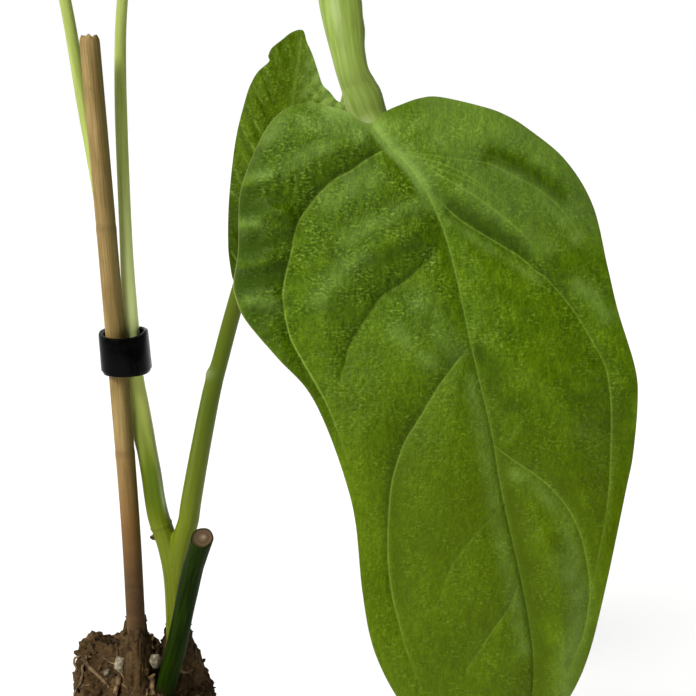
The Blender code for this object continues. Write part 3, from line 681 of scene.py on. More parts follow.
# The shoot grew from the old stem's foot. It forks above the mix: the left branch runs up into the
# clip inside its open sheath, and the right one, with its own sheath end, rises to the big leaf.
SHOOT_LEFT_ROUTE = [
    (8.6, 3.2, 60.0, 2.7),
    (8.9, 1.8, 74.0, 2.8),
    (9.8, -0.6, 90.0, 2.9),
    (9.9, -2.8, 105.0, 3.0),
    (8.3, -3.2, 115.0, 3.0),
    (6.3, -3.0, 121.5, 3.05),
    (5.2, -2.5, 127.2, 2.9),
    (4.4, -2.1, 134.0, 2.85),
    (3.35, -1.5, 140.5, 2.8),
    (2.15, -0.6, 146.7, 3.0),
    (1.45, -0.4, 153.6, 2.65),
    (0.7, -0.5, 160.0, 2.4),
    (0.25, -0.7, 166.0, 2.2),
]
SHOOT_RIGHT_ROUTE = [
    (9.8, -1.8, 98.0, 2.4),
    (11.6, -4.0, 110.0, 2.9),
    (13.5, -5.4, 117.5, 2.95),
    (15.0, -6.2, 122.2, 2.9),
    (16.2, -7.6, 128.8, 2.85),
    (19.5, -12.0, 144.0, 2.65),
    (23.1, -17.0, 159.3, 2.45),
    (24.75, -18.4, 165.5, 2.3),
    (26.2, -19.7, 170.0, 2.15),
    (28.8, -22.0, 178.9, 2.1),
    (31.4, -25.0, 187.2, 2.05),
    (33.1, -26.5, 191.9, 2.2),
    (34.1, -27.2, 194.5, 2.5),
]
BUD_SCAR_ROUTE = [
    (3.6, -3.6, 116.6, 0.35),
    (4.5, -3.5, 116.0, 0.75),
    (5.6, -3.3, 116.9, 1.3),
    (7.0, -3.0, 119.0, 2.0),
]
# Heights of the ring at the left branch's foot and of the right sheath's end, and how finely the
# branches are knit into one
NODE_HEIGHT = 119.7
SHEATH_END = 167.0
SHOOT_VOXEL = 0.3


# Stem skin, young: smooth yellow-olive with a satin wax, deeper above the fork, painted light toward the
# clip.
def young_stem_skin():
    mat, tree, shader, place = finish("young_stem_skin", 1.45, Specular_IOR_Level=0.15,
                                      Subsurface_Weight=0.12, Subsurface_Scale=0.8 * MM)
    streaks = put(tree, "Mapping", {"Vector": place, "Scale": (1 / 0.9, 1 / 0.9, 1 / 18.0)})
    grain = put(tree, "TexNoise", {"Vector": streaks, "Scale": 1.0, "Detail": 4.0})
    colour = put(tree, "ValToRGB", {"Fac": grain},
                 stops=[(0.3, "#5c6709"), (0.5, "#667112"), (0.72, "#6f7b1e")])
    # The pale layer is painted light on the left branch toward the clip
    colour = layered(tree, colour, deep="#4b5a02", pale="#c6d06c", channel="#53690f", margin="#a9b98c",
                     scar="#33230f")
    rough = put(tree, "MapRange", {"Value": grain}, span=(0, 1, 0.36, 0.5))
    bump = put(tree, "Bump", {"Height": grain, "Strength": 0.15, "Distance": 0.1 * MM})
    wear(tree, shader, colour, rough, bump)
    return mat


def stem_places(points, route):
    """For points near a stem: straightened place, turn round it, distance out from its skin."""
    path = curve(route, 0.5)
    nearest = np.concatenate([
        ((part[:, None] - path[None, :, :3]) ** 2).sum(2).argmin(1) for part in np.array_split(points, 40)
    ])
    side, front, runs = frames_along(path[:, :3])
    offset = points - path[nearest, :3]
    x, y = (offset * side[nearest]).sum(1), (offset * front[nearest]).sum(1)
    return np.stack([x, y, runs[nearest]], axis=1), np.arctan2(y, x), np.hypot(x, y) - path[nearest, 3]


def near_turn(turn, aim, width):
    """1 where a turn is at aim, in degrees, fading over a width."""
    gap = (turn - np.radians(aim) + math.pi) % (2 * math.pi) - math.pi
    return np.exp(-(gap / math.radians(width)) ** 2)


def forked_shoot():
    shapes = []
    limbs = ((SHOOT_LEFT_ROUTE, 40, 0.8), (SHOOT_RIGHT_ROUTE, 40, 0.8), (BUD_SCAR_ROUTE, 16, 0.5))
    for route, sides, step in limbs:
        points, faces, _ = tube(route, sides, step)
        shapes.append(([Vector(p) for p in points], faces, 0.0))
    shoot = join_shapes("forked_shoot", shapes, young_stem_skin(), math.radians(180))
    knit = shoot.modifiers.new("knit", "REMESH")
    knit.mode = "VOXEL"
    knit.voxel_size = SHOOT_VOXEL * MM
    knit.use_smooth_shade = True
    ease = shoot.modifiers.new("ease", "SMOOTH")
    ease.factor = 0.5
    ease.iterations = 6
    apply_modifiers(shoot)
    points = points_of(shoot)
    place_l, turn_l, out_l = stem_places(points, SHOOT_LEFT_ROUTE)
    place_r, turn_r, out_r = stem_places(points, SHOOT_RIGHT_ROUTE)
    on_left = out_l < out_r
    z = points[:, 2]
    normals = np.array([n.vector for n in shoot.data.vertex_normals])
    # The left branch's sheath is open: a channel with a pale margin, and a ring at its foot
    above = np.clip((z - NODE_HEIGHT - 1.0) / 6.0, 0, 1) * on_left
    channel = above * rising(z, 158.0, -20.0) * near_turn(turn_l, -82, 26)
    margin = above * near_turn(turn_l, -28, 13) * rising(z, 150.0, -22.0, 0.15)
    ring = on_left * np.exp(-((z - NODE_HEIGHT - 0.35 * place_l[:, 0]) / 0.45) ** 2)
    # The right sheath's end and margin, and the dried scar of a bud
    ligule = (~on_left) * near_turn(turn_r, 195, 50) * np.exp(-((z - SHEATH_END) / 1.5) ** 2)
    sheath_r = (~on_left) * near_turn(turn_r, -125, 9) * rising(z, SHEATH_END, -8.0) * (z > 126)
    scar = rising(points[:, 0], 5.3, -0.6) * np.exp(-((z - 116.0) / 1.4) ** 2)
    relief = 0.5 * margin - 0.4 * channel + 0.18 * ring + 0.4 * ligule + 0.05 * sheath_r
    move_points(shoot, points + normals * relief[:, None])
    mark(
        shoot,
        place=np.where(on_left[:, None], place_l, place_r),
        channel=channel * 0.8,
        deep=np.where(on_left, 0.8 * np.exp(-((z - 130.0) / 7.0) ** 2), 0.9 * rising(z, 126.0, 30.0)),
        # Paler up the left branch toward the clip: painted light
        pale=0.85 * rising(z, 136.0, 20.0) * on_left,
        margin=np.clip(margin * 0.7 + ligule * 0.3 + sheath_r * 0.05, 0, 1),
        scar=np.clip(scar + ring * 0.15, 0, 1),
    )
    fit(shoot, "shoot_skin", "shoot")


forked_shoot()


# The stake is a 5 mm bamboo stick, split and rounded, pushed down into the mix beside the stems.
# Its top end is worn, its nodes are ground off flush, and damp mix has stained its foot.
STAKE_RADIUS = 2.65
STAKE_Y = -4.5
# Its middle line, as (x, height), and the heights of its nodes
STAKE_LINE = ((0.4, 14.0), (-0.9, 80.0), (-1.5, 118.0), (-2.9, 155.0), (-4.9, 200.0), (-7.5, 253.0))
STAKE_NODES = (66.0, 141.0, 203.0)
# Its worn top end: how deep it is chipped, and rings in from its rim as shares of the radius
STAKE_WEAR = 0.9
STAKE_END_RINGS = (0.86, 0.66, 0.42, 0.18)


# Bamboo, split and machine-rounded: dry tan with long darker fibres, small dark flecks and no varnish.
# Its right side carries a painted shade, tinted olive.
# Fibre bundles are about 0.3 mm wide and show at true size.
def dry_bamboo():
    mat, tree, shader, place = finish("dry_bamboo", 1.5, Specular_IOR_Level=0.2)
    drawn_out = put(tree, "Mapping", {"Vector": place, "Scale": (1 / 0.3, 1 / 0.3, 1 / 16.0)})
    fibre = put(tree, "TexNoise", {"Vector": drawn_out, "Scale": 1.0, "Detail": 4.0, "Roughness": 0.6})
    wide = put(tree, "Mapping", {"Vector": place, "Scale": (0.3, 0.3, 0.05)})
    patch = put(tree, "TexNoise", {"Vector": wide, "Scale": 1.0, "Detail": 3.0})
    both = put(tree, "Mix", {"Factor": 0.5, "A": fibre, "B": patch}, data_type="FLOAT")
    tan = put(tree, "ValToRGB", {"Fac": both},
              stops=[(0.36, "#70592f"), (0.5, "#8e7646"), (0.64, "#a98f5c")])
    short = put(tree, "Mapping", {"Vector": place, "Scale": (0.9, 0.9, 0.45)})
    flecks = put(tree, "TexNoise", {"Vector": short, "Scale": 1.0, "Detail": 6.0, "Roughness": 0.75})
    dark = put(tree, "MapRange", {"Value": flecks}, span=(0.6, 0.74, 0, 0.6))
    colour = put(tree, "Mix", {"Factor": dark, "A": tan, "B": "#4f3d20"}, data_type="RGBA")
    # Dark joints, a painted shade on the right side, and damp toward the foot
    colour = layered(tree, colour, joint="#65502f", flank="#575312", damp="#6d4a20")
    stain = put(tree, "Attribute", attribute_name="stain").outputs["Fac"]
    blotch = put(tree, "TexNoise", {"Vector": place, "Scale": 1 / 2.6, "Detail": 6.0})
    patchy = put(tree, "MapRange", {"Value": blotch}, span=(0.3, 0.6, 0.8, 1.1))
    wet = put(tree, "Math", {0: stain, 1: patchy}, operation="MULTIPLY")
    colour = put(tree, "Mix", {"Factor": wet, "A": colour, "B": "#47331a"}, data_type="RGBA")
    rough = put(tree, "MapRange", {"Value": fibre}, span=(0, 1, 0.55, 0.8))
    bump = put(tree, "Bump", {"Height": fibre, "Strength": 0.5, "Distance": 0.12 * MM})
    wear(tree, shader, colour, rough, bump)
    return mat


def bamboo_stake():
    sides = 44
    bottom = STAKE_LINE[0][1]
    top = STAKE_LINE[-1][1]
    route = [(x, STAKE_Y, z, STAKE_RADIUS) for x, z in STAKE_LINE]

    def section(turn, along):
        height = along + bottom
        share = 1 + 0.015 * np.sin(3 * turn + 1.0) + 0.01 * np.sin(along / 21.0)
        for node in STAKE_NODES:
            swell = np.exp(-((height - node) / 1.2) ** 2)
            groove = np.exp(-((height - node - 2) / 0.8) ** 2)
            share += 0.025 * swell - 0.02 * groove
        return share - 0.14 * np.clip((height - top + 1.3) / 1.3, 0, 1) ** 2

    points, _, place = tube(route, sides, 0.9, section)
    rings = len(points) // sides
    centre = points[-sides:].mean(axis=0)
    chips = np.array([noise.noise(Vector((2.2 * math.cos(t), 2.2 * math.sin(t), 7.0)))
                      for t in np.arange(sides) * 2 * math.pi / sides])
    points[-sides:, 2] += chips * STAKE_WEAR - 0.2
    last = 1.0
    for share in STAKE_END_RINGS:
        ring = centre + (points[-sides:] - centre) * share / last
        ring[:, 2] = centre[2] + chips * STAKE_WEAR * share + 0.3 * np.sin(ring[:, 0] * 3.1)
        last = share
        points = np.vstack([points, ring])
        depth = np.full((sides, 1), place[-1, 2] + 0.2)
        place = np.vstack([place, np.hstack([(ring - centre)[:, :2], depth])])
    faces = grid_faces(rings + len(STAKE_END_RINGS), sides)
    stake = solid("bamboo_stake", points, faces, dry_bamboo(), math.radians(50))
    height = place[:, 2] + bottom
    joint = sum(np.exp(-((height - node - 0.6) / 1.1) ** 2) for node in STAKE_NODES)
    turn = np.arctan2(place[:, 1], place[:, 0])
    mark(
        stake,
        place=place,
        joint=np.clip(joint * 0.4, 0, 1),
        stain=0.9 * rising(height, 122.0, -20.0),
        damp=0.85 * rising(height, 152.0, -32.0),
        # A painted shade on the right side, stronger low down
        flank=near_turn(turn, -15, 45) * (0.55 + 0.3 * rising(height, 175.0, -50.0)),
    )
    fit(stake, "bamboo", "stake")


bamboo_stake()


# The clip is a plant support clip of black acetal: an oval collar that snaps shut round the stake
# and the left branch. Both mouths have small chamfers from the mould.
clip_low, clip_high = (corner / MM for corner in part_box("stem_clip"))
CLIP_WALL = 1.3
CLIP_CHAMFER = 0.55
# How much it leans to the left as it rises, and how far its upper edge dips at the front
CLIP_LEAN = 0.055
CLIP_DIP = 1.1
# How square its oval is: 2 is a plain oval
CLIP_OVAL = 2.3


# Acetal, moulded and polished: deep black with a clear, slightly wavy gloss.
def polished_acetal():
    mat, tree, shader, place = finish("polished_acetal", 1.48, Specular_IOR_Level=0.06)
    haze = put(tree, "TexNoise", {"Vector": place, "Scale": 1 / 3.0, "Detail": 5.0})
    colour = put(tree, "ValToRGB", {"Fac": haze}, stops=[(0.4, "#030303"), (0.7, "#070808")])
    rough = put(tree, "MapRange", {"Value": haze}, span=(0.35, 0.7, 0.2, 0.34))
    bump = put(tree, "Bump", {"Height": haze, "Strength": 0.2, "Distance": 0.15 * MM})
    wear(tree, shader, colour, rough, bump)
    return mat


def collar_clip():
    centre = (clip_low + clip_high) / 2
    half = (clip_high - clip_low) / 2
    sides = 120
    top, cut, wall = half.z, CLIP_CHAMFER, CLIP_WALL
    # The collar's wall in section, as (distance in from its outer face, height)
    profile = [(0.35, -top + cut * 1.6), (0.0, -top + cut * 1.9), (0.0, top - cut), (0.12, top - cut * 0.4)]
    profile += [(cut * 0.9, top), (wall - 0.3, top), (wall, top - 0.4), (wall, -top + 0.4)]
    profile += [(wall - 0.3, -top), (cut * 1.3, -top), (cut * 0.9, -top + 0.15)]
    points, faces = [], []
    for inset, z in profile:
        for k in range(sides):
            turn = 2 * math.pi * k / sides
            right, back = math.cos(turn), math.sin(turn)
            squared = (abs(right) ** CLIP_OVAL + abs(back) ** CLIP_OVAL) ** (-1 / CLIP_OVAL)
            x = (half.x - inset) * right * squared
            y = (half.y - inset) * back * squared
            taper = 1 - 0.015 * (z + top) / top
            dip = CLIP_DIP * max(0.0, -back) if z > 0 else 0.0
            points.append(centre + Vector((x * taper - CLIP_LEAN * z, y * taper, z - dip)))
    rows = len(profile)
    for i in range(rows):
        for k in range(sides):
            a, b = i * sides + k, i * sides + (k + 1) % sides
            j = (i + 1) % rows
            faces.append((a, b, j * sides + (k + 1) % sides, j * sides + k))
    clip = solid("collar_clip", points, faces, polished_acetal(), math.radians(24))
    fit(clip, "clip_plastic", "stem_clip")


collar_clip()


# The leaf stalks are living tissue. The two that leave the clip are slim, round and pale, and the
# big leaf's stalk is flat, ribbed along its length, and edged by the wavy wing of its old sheath.
FRONT_STALK_ROUTE = [
    (34.5, -27.4, 195.2, 1.7),
    (35.7, -27.6, 197.8, 1.75),
    (38.5, -28.0, 202.6, 1.7),
    (45.3, -29.0, 213.2, 1.75),
    (53.2, -31.0, 224.1, 1.8),
    (59.0, -33.0, 234.4, 1.8),
    (60.4, -35.0, 243.1, 1.85),
    (59.3, -38.0, 252.0, 1.95),
    (57.9, -43.0, 260.3, 2.1),
    (56.9, -50.0, 268.3, 2.3),
    (56.2, -60.5, 273.6, 2.6),
    (55.8, -72.5, 271.6, 3.0),
    (56.5, -85.1, 264.0, 3.4),
    (58.1, -96.4, 252.6, 3.9),
    (59.8, -100.9, 241.8, 3.0),
    (61.3, -100.6, 237.5, 3.2),
    (62.3, -100.5, 234.9, 3.5),
    (63.4, -101.0, 231.7, 3.3),
    (64.9, -102.8, 228.8, 2.8),
    (67.0, -105.6, 226.0, 2.1),
    (69.8, -109.0, 223.0, 1.2),
]
BACK_STALK_ROUTE = [
    (35.9, -29.9, 199.6, 1.0),
    (35.5, -32.2, 201.2, 1.2),
    (36.7, -35.6, 203.2, 1.2),
    (38.6, -38.4, 203.8, 1.15),
    (40.1, -41.2, 203.2, 1.05),
]
UPPER_LEFT_STALK_ROUTE = [
    (-2.3, 2.0, 167.2, 1.4),
    (-3.7, 1.2, 172.5, 1.6),
    (-4.9, 1.1, 180.0, 1.75),
    (-6.3, 1.8, 192.0, 1.75),
    (-8.0, 3.0, 210.7, 1.75),
    (-12.0, 5.0, 237.1, 1.7),
    (-16.0, 7.0, 263.2, 1.6),
    (-20.6, 9.6, 282.0, 1.5),
    (-27.0, 14.0, 291.0, 1.6),
]
UPPER_CENTRE_STALK_ROUTE = [
    (0.4, -0.8, 166.4, 2.1),
    (0.0, -0.9, 174.0, 2.2),
    (-0.7, -0.2, 199.8, 1.75),
    (-1.3, 3.0, 239.6, 1.6),
    (-0.3, 5.0, 263.0, 1.45),
    (2.6, 9.0, 283.0, 1.4),
    (8.0, 16.5, 294.0, 1.5),
]
# Ribs on the front stalk's face: turn in degrees, height as a share of the radius, width in degrees
STALK_RIBS = ((-165, 0.03, 9), (-118, 0.05, 8), (-88, 0.05, 7), (-55, 0.05, 8))


# Stalk skin: pale yellow-green, lit through near its edges, with paler ribs and a satin wax.
# The round stalks carry painted light toward their foot.
def stalk_skin(name, dark, middle, light, rib):
    mat, tree, shader, place = finish(name, 1.45, Specular_IOR_Level=0.3, Subsurface_Weight=0.15,
                                      Subsurface_Scale=0.8 * MM)
    streaks = put(tree, "Mapping", {"Vector": place, "Scale": (1 / 0.6, 1 / 0.6, 1 / 15.0)})
    grain = put(tree, "TexNoise", {"Vector": streaks, "Scale": 1.0, "Detail": 5.0})
    green = put(tree, "ValToRGB", {"Fac": grain}, stops=[(0.3, dark), (0.5, middle), (0.7, light)])
    # Paler ribs, and painted light toward the foot of the round stalks
    colour = layered(tree, green, rib=rib)
    rough = put(tree, "MapRange", {"Value": grain}, span=(0, 1, 0.38, 0.52))
    pores = put(tree, "TexNoise", {"Vector": place, "Scale": 1 / 0.5, "Detail": 3.0})
    bump = put(tree, "Bump", {"Height": pores, "Strength": 0.25, "Distance": 0.1 * MM})
    wear(tree, shader, colour, rough, bump)
    return mat


def ribbed_section(turn, along):
    """The front stalk's cross-section: ribs that wander a little, and a waved wing at its right edge."""
    share = np.ones_like(turn * along)
    for aim, height, width in STALK_RIBS:
        wander = aim + 4 * np.sin(along / 7.0 + aim)
        share = share + height * near_turn(turn, wander, width)
    wing = 0.02 + 0.03 * np.sin(along / 2.3) + 0.025 * np.sin(along / 0.9 + 1.0)
    grown = rising(along, 30, 40)
    return share + wing * grown * near_turn(turn, -6, 13) - 0.05 * grown * near_turn(turn, -24, 8) - 0.02


def round_section(turn, along):
    """A round stalk's cross-section: a shallow channel on its back, and slow changes of width."""
    return 1 + 0.03 * near_turn(turn, 60, 30) - 0.05 * near_turn(turn, 90, 20) + 0.012 * np.sin(along / 8.0)


def leaf_stalk(name, route, sides, section, flat, mat, slot, node):
    points, faces, place = tube(route, sides, 0.7, section, flat)
    stalk = solid(name, points, faces, mat, math.radians(180))
    turn = np.arctan2(place[:, 1] / flat, place[:, 0])
    rib = np.zeros(len(points))
    if section is ribbed_section:
        for aim, _, width in STALK_RIBS:
            rib += near_turn(turn, aim + 4 * np.sin(place[:, 2] / 7.0 + aim), width * 0.7)
    else:
        # A round stalk is paler toward its foot: painted light
        rib += np.clip((55.0 - place[:, 2]) / 25.0, 0, 1.6)
    mark(stalk, place=place, rib=np.clip(rib * 0.6, 0, 1))
    fit(stalk, slot, node)


ribbed_skin = stalk_skin("ribbed_stalk_skin", "#728533", "#7f933e", "#8ca04b", "#9cae60")
pale_skin = stalk_skin("pale_stalk_skin", "#8f9c48", "#9dab55", "#acb963", "#d8e296")
leaf_stalk("front_leaf_stalk", FRONT_STALK_ROUTE, 96, ribbed_section, 0.72,
           ribbed_skin, "ribbed_stalk", "petiole_front")
leaf_stalk("back_leaf_stalk", BACK_STALK_ROUTE, 32, round_section, 1.0,
           ribbed_skin, "ribbed_stalk", "petiole_back")
leaf_stalk("upper_left_stalk", UPPER_LEFT_STALK_ROUTE, 40, round_section, 1.0,
           pale_skin, "pale_stalk", "petiole_upper_left")
leaf_stalk("upper_centre_stalk", UPPER_CENTRE_STALK_ROUTE, 40, round_section, 1.0,
           pale_skin, "pale_stalk", "petiole_upper_centre")


# The front leaf is one thick living blade that hangs tip down, grown from the end of its stalk.
# It is puffed up between veins that sink into its face, and its midrib spreads pale from the stalk.

# How far apart a blade's points lie, how thick it is, and over what width it thins at its margin
LEAF_GRID = 0.48
LEAF_THICKNESS = 0.55
MARGIN_WIDTH = 1.2
# How high the blade puffs up, and how far from a vein, and the width of a vein and the groove over it
PUFF_HEIGHT = 1.7
PUFF_REACH = 4.2
VEIN_WIDTH = 0.16
GROOVE_WIDTH = 0.4
GROOVE_DEPTH = 0.2
# The sheet that the blade is drawn on lies square to the photograph's view, and its origin is the
# blade's base. The outline and the midrib are in mm from there.
SHEET_LEAN = math.radians(11)
FRONT_SHEET_ORIGIN = (64.0, -108.5, 231.7)
FRONT_OUTLINE = [
    (-0.3, -0.8), (1.7, 1.0), (4.5, 2.3), (8.0, 3.5), (11.5, 3.7), (18.6, 2.1), (22.6, 0.7),
    (26.6, -1.7), (33.2, -7.2), (38.0, -15.1), (40.6, -25.9), (42.4, -33.5), (45.3, -43.1),
    (45.8, -49.0), (45.0, -58.3), (43.8, -64.4), (40.2, -81.6), (37.3, -93.1), (34.1, -100.3),
    (29.6, -106.4), (22.7, -110.4), (14.6, -108.6), (8.2, -104.6), (3.9, -100.3), (-0.1, -92.0),
    (-2.0, -82.3), (-3.2, -70.3), (-5.0, -62.7), (-8.3, -53.5), (-11.7, -47.0), (-16.7, -41.7),
    (-22.2, -35.2), (-24.0, -31.3), (-24.4, -28.4), (-23.6, -22.9), (-23.4, -14.1), (-22.0, -8.9),
    (-18.9, -2.1), (-15.6, 1.5), (-12.3, 2.6), (-9.4, 2.5), (-4.7, 1.2), (-2.6, -0.3),
]
FRONT_MIDRIB = [
    (0.0, -1.4), (2.4, -4.5), (7.3, -9.9), (11.6, -18.2), (14.4, -28.0), (17.0, -40.1), (20.3, -54.2),
    (22.2, -65.1), (26.4, -84.4), (27.7, -96.0), (26.4, -104.0), (22.7, -110.0),
]
# Where the photograph shows the blade's base, its scale there, and its veins by pixel, from the midrib out.
# Each has the strength of its pale line and how deep it sinks between the puffs.
FRONT_BASE_PIXEL = (374, 118)
FRONT_PIXELS_PER_MM = 5.76
FRONT_VEINS_SEEN = {
    "left 1": (0.8, 1.0, [
        (389, 148), (369, 158), (352, 170), (330, 183), (306, 210), (296, 230), (292, 250), (286, 275),
        (283, 294), (285, 313), (289, 332), (294, 345), (308, 370), (326, 402), (340, 437), (350, 466),
    ]),
    "left 2": (0.15, 0.8, [
        (441, 245), (434, 254), (405, 281), (383, 295), (370, 313), (350, 345), (345, 365), (338, 383),
        (327, 397),
    ]),
    "left 3": (0.5, 0.75, [
        (470, 346), (453, 367), (437, 389), (421, 416), (405, 442), (394, 474), (390, 499), (388, 539),
        (389, 569), (393, 598), (398, 618), (406, 648), (413, 667), (424, 697),
    ]),
    "left 4": (0.12, 0.25, [
        (505, 505), (480, 530), (458, 557), (448, 575), (437, 604), (419, 614), (405, 627),
    ]),
    "left 5": (0.2, 0.4, [(519, 585), (508, 610), (496, 626), (480, 650), (470, 665), (458, 692)]),
    "right 1": (0.25, 0.45, [
        (400, 150), (450, 158), (487, 163), (512, 175), (533, 186), (550, 198), (567, 216), (582, 238),
        (593, 256), (607, 281),
    ]),
    "ray 1": (0.15, 0.05, [(403, 145), (430, 148), (462, 151), (490, 156), (522, 170)]),
    "ray 2": (0.35, 0.12, [(404, 154), (430, 160), (462, 172), (487, 189), (505, 204)]),
    "ray 3": (0.4, 0.15, [(432, 170), (452, 182), (478, 198), (505, 218), (525, 236), (541, 252)]),
    "ray 4": (0.3, 0.08, [(424, 163), (445, 171), (463, 178), (482, 188), (500, 200)]),
    "right 2": (0.36, 1.0, [
        (435, 196), (458, 218), (481, 233), (501, 245), (520, 257), (535, 270), (548, 280), (574, 311),
        (595, 346), (606, 368), (611, 401), (611, 449), (608, 500), (598, 560), (588, 610),
    ]),
    "right 4": (0.32, 0.8, [
        (494, 445), (512, 459), (540, 478), (557, 494), (571, 513), (581, 535), (587, 561), (590, 590),
        (585, 628), (571, 667), (560, 696),
    ]),
}
# Ridges that the puffs rise to, by pixel, with height and width in mm
FRONT_RIDGES_SEEN = (
    (0.8, 2.2, [
        (443, 179), (458, 190), (489, 207), (506, 218), (518, 230), (530, 244), (542, 257), (552, 274),
    ]),
    (0.6, 2.0, [(446, 142), (487, 140), (520, 148), (552, 168), (582, 205)]),
    (1.0, 2.6, [(476, 344), (500, 352), (530, 368), (556, 392), (575, 420)]),
    (0.9, 3.2, [(545, 545), (562, 590), (566, 640), (556, 690)]),
    (0.6, 1.6, [(328, 283), (350, 266), (372, 251), (400, 242), (425, 228)]),
    (0.5, 1.4, [(360, 234), (380, 226), (400, 217)]),
    (0.6, 1.7, [(290, 318), (312, 303), (335, 294), (360, 284)]),
    (0.6, 1.8, [(266, 182), (284, 172), (307, 155), (342, 145)]),
    (0.5, 1.0, [(266, 205), (277, 211), (291, 214), (288, 228)]),
    (1.1, 1.5, [(243, 184), (256, 179), (272, 176)]),
    (1.2, 1.4, [(239, 226), (253, 226), (268, 214), (282, 213)]),
    (1.0, 1.4, [(239, 266), (253, 264), (270, 261)]),
    (1.2, 1.5, [(244, 304), (256, 301), (280, 300)]),
)
# Pockets of painted shade, by pixel, with how dark they are and their width in mm
FRONT_PAINTED_SHADE_SEEN = (
    (0.12, 1.4, [(440, 199), (458, 209), (478, 222), (500, 236), (524, 251)]),
    (0.12, 1.9, [(494, 158), (516, 166), (540, 180), (556, 194)]),
    (0.1, 1.2, [(346, 176), (362, 166), (378, 156)]),
    (0.1, 1.6, [(372, 262), (392, 256), (414, 247)]),
    (0.16, 1.3, [(241, 206), (253, 206), (265, 203), (283, 198)]),
    (0.12, 1.3, [(240, 248), (256, 247), (270, 242), (283, 234)]),
    (0.15, 1.5, [(242, 284), (258, 284), (272, 279), (282, 272)]),
    (0.1, 1.5, [(479, 352), (486, 366), (497, 386), (508, 405)]),
    (0.1, 1.4, [
        (500, 455), (505, 480), (511, 505), (518, 540), (525, 575), (532, 610), (538, 650), (541, 692),
    ]),
    (0.09, 1.2, [(562, 482), (581, 506), (592, 535), (598, 565)]),
    (0.07, 1.6, [(624, 400), (623, 450), (615, 505), (606, 555)]),
    (0.1, 1.4, [(398, 466), (393, 500), (393, 540), (396, 575), (402, 604)]),
)
# A strip of painted light where the blade faces the lamp, by pixel, with how pale it is and its width in mm
FRONT_PAINTED_LIGHT_SEEN = (
    (0.08, 1.3, [(384, 470), (381, 520), (384, 570), (392, 612), (402, 650)]),
)
# Painted sheen where the wax catches the light, by pixel, with how pale it is and its width in mm
FRONT_PAINTED_SHEEN_SEEN = (
    (0.62, 1.4, [(318, 105), (340, 108), (356, 115), (369, 124)]),
    (0.52, 2.0, [(332, 118), (346, 122), (359, 131)]),
    (0.22, 0.9, [(450, 221), (480, 242), (510, 260), (538, 281)]),
    (0.18, 2.4, [(420, 300), (438, 326), (452, 348)]),
    (0.32, 1.6, [(268, 136), (281, 125), (300, 121), (322, 127)]),
    (0.28, 1.5, [(284, 172), (298, 162), (312, 152), (330, 146)]),
    (0.3, 1.1, [(247, 178), (258, 176), (270, 173)]),
    (0.32, 1.0, [(240, 225), (250, 222), (262, 227)]),
    (0.3, 1.1, [(250, 300), (262, 303), (275, 306)]),
    (0.26, 1.9, [(328, 200), (350, 188), (374, 178)]),
    (0.26, 1.7, [(348, 238), (372, 226), (400, 212), (422, 204)]),
    (0.2, 2.0, [(318, 300), (338, 276), (362, 256)]),
    (0.24, 2.4, [(396, 126), (430, 119), (470, 119), (512, 130)]),
    (0.34, 1.4, [(493, 170), (523, 184), (549, 203), (577, 238)]),
    (0.28, 1.2, [(534, 157), (546, 163), (556, 171)]),
    (0.26, 2.2, [(462, 190), (492, 206), (520, 224), (546, 246)]),
    (0.3, 1.7, [(580, 284), (595, 298), (606, 314)]),
    (0.2, 1.4, [(470, 380), (481, 430), (489, 470), (497, 520), (506, 560), (515, 600), (524, 650)]),
    (0.24, 1.5, [(516, 472), (540, 490), (559, 512), (571, 542), (578, 575)]),
    (0.32, 2.1, [(566, 560), (578, 590), (580, 620), (572, 655), (566, 696)]),
    (0.22, 1.6, [(396, 330), (412, 350), (432, 362)]),
)


def drawn(pixels):
    """Points of the front sheet, in mm from the blade's base, from pixels of the photograph."""
    x, y = FRONT_BASE_PIXEL
    return [((px - x) / FRONT_PIXELS_PER_MM, (y - py) / FRONT_PIXELS_PER_MM) for px, py in pixels]


def strongest(points, strokes):
    """At each point, the strongest of some soft strokes of (strength, width, pixels)."""
    result = np.zeros(len(points))
    for strength, breadth, pixels in strokes:
        distance = line_field(points, curve(drawn(pixels), 0.8))[0]
        result = np.maximum(result, strength * bump_of(distance, breadth))
    return result


def line_field(points, line):
    """Each point's distance to a line, how far along it the nearest place lies, from 0 to 1, and its side.

    The side is 1 to the left of the line's direction and -1 to its right.
    """
    a, b = line[:-1], line[1:]
    ab = b - a
    lengths = np.sqrt((ab ** 2).sum(1))
    runs = np.concatenate([[0.0], np.cumsum(lengths)])
    distances, shares, sides = [], [], []
    for part in np.array_split(points, max(1, len(points) * len(a) // 400000)):
        t = np.clip(((part[:, None] - a) * ab).sum(2) / lengths ** 2, 0, 1)
        gap = part[:, None] - a - ab * t[..., None]
        distance = np.sqrt((gap ** 2).sum(2))
        best = distance.argmin(1)
        rows = np.arange(len(part))
        distances.append(distance[rows, best])
        shares.append((runs[best] + t[rows, best] * lengths[best]) / runs[-1])
        off = part - a[best]
        sides.append(np.sign(ab[best, 0] * off[:, 1] - ab[best, 1] * off[:, 0]))
    return np.concatenate(distances), np.concatenate(shares), np.concatenate(sides)


def inside(points, outline):
    """Which points lie inside a closed outline."""
    hit = np.zeros(len(points), bool)
    x, y = points[:, 0], points[:, 1]
    for a, b in zip(outline, np.roll(outline, -1, axis=0)):
        if a[1] != b[1]:
            crosses = (a[1] > y) != (b[1] > y)
            hit ^= crosses & (x < a[0] + (b[0] - a[0]) * (y - a[1]) / (b[1] - a[1]))
    return hit


def fine_noise(points, size, seed):
    """Smooth noise over the sheet with lumps of about a size in mm."""
    return np.array([noise.noise(Vector((x / size, y / size, seed))) for x, y in points])


def bump_of(distance, width):
    """1 on a line, fading over a width."""
    return np.exp(-(distance / width) ** 2)


def thinned(edge):
    """The share of its thickness that a blade has at a distance from its margin."""
    return np.clip(0.5 + edge / MARGIN_WIDTH, 0.5, 1)


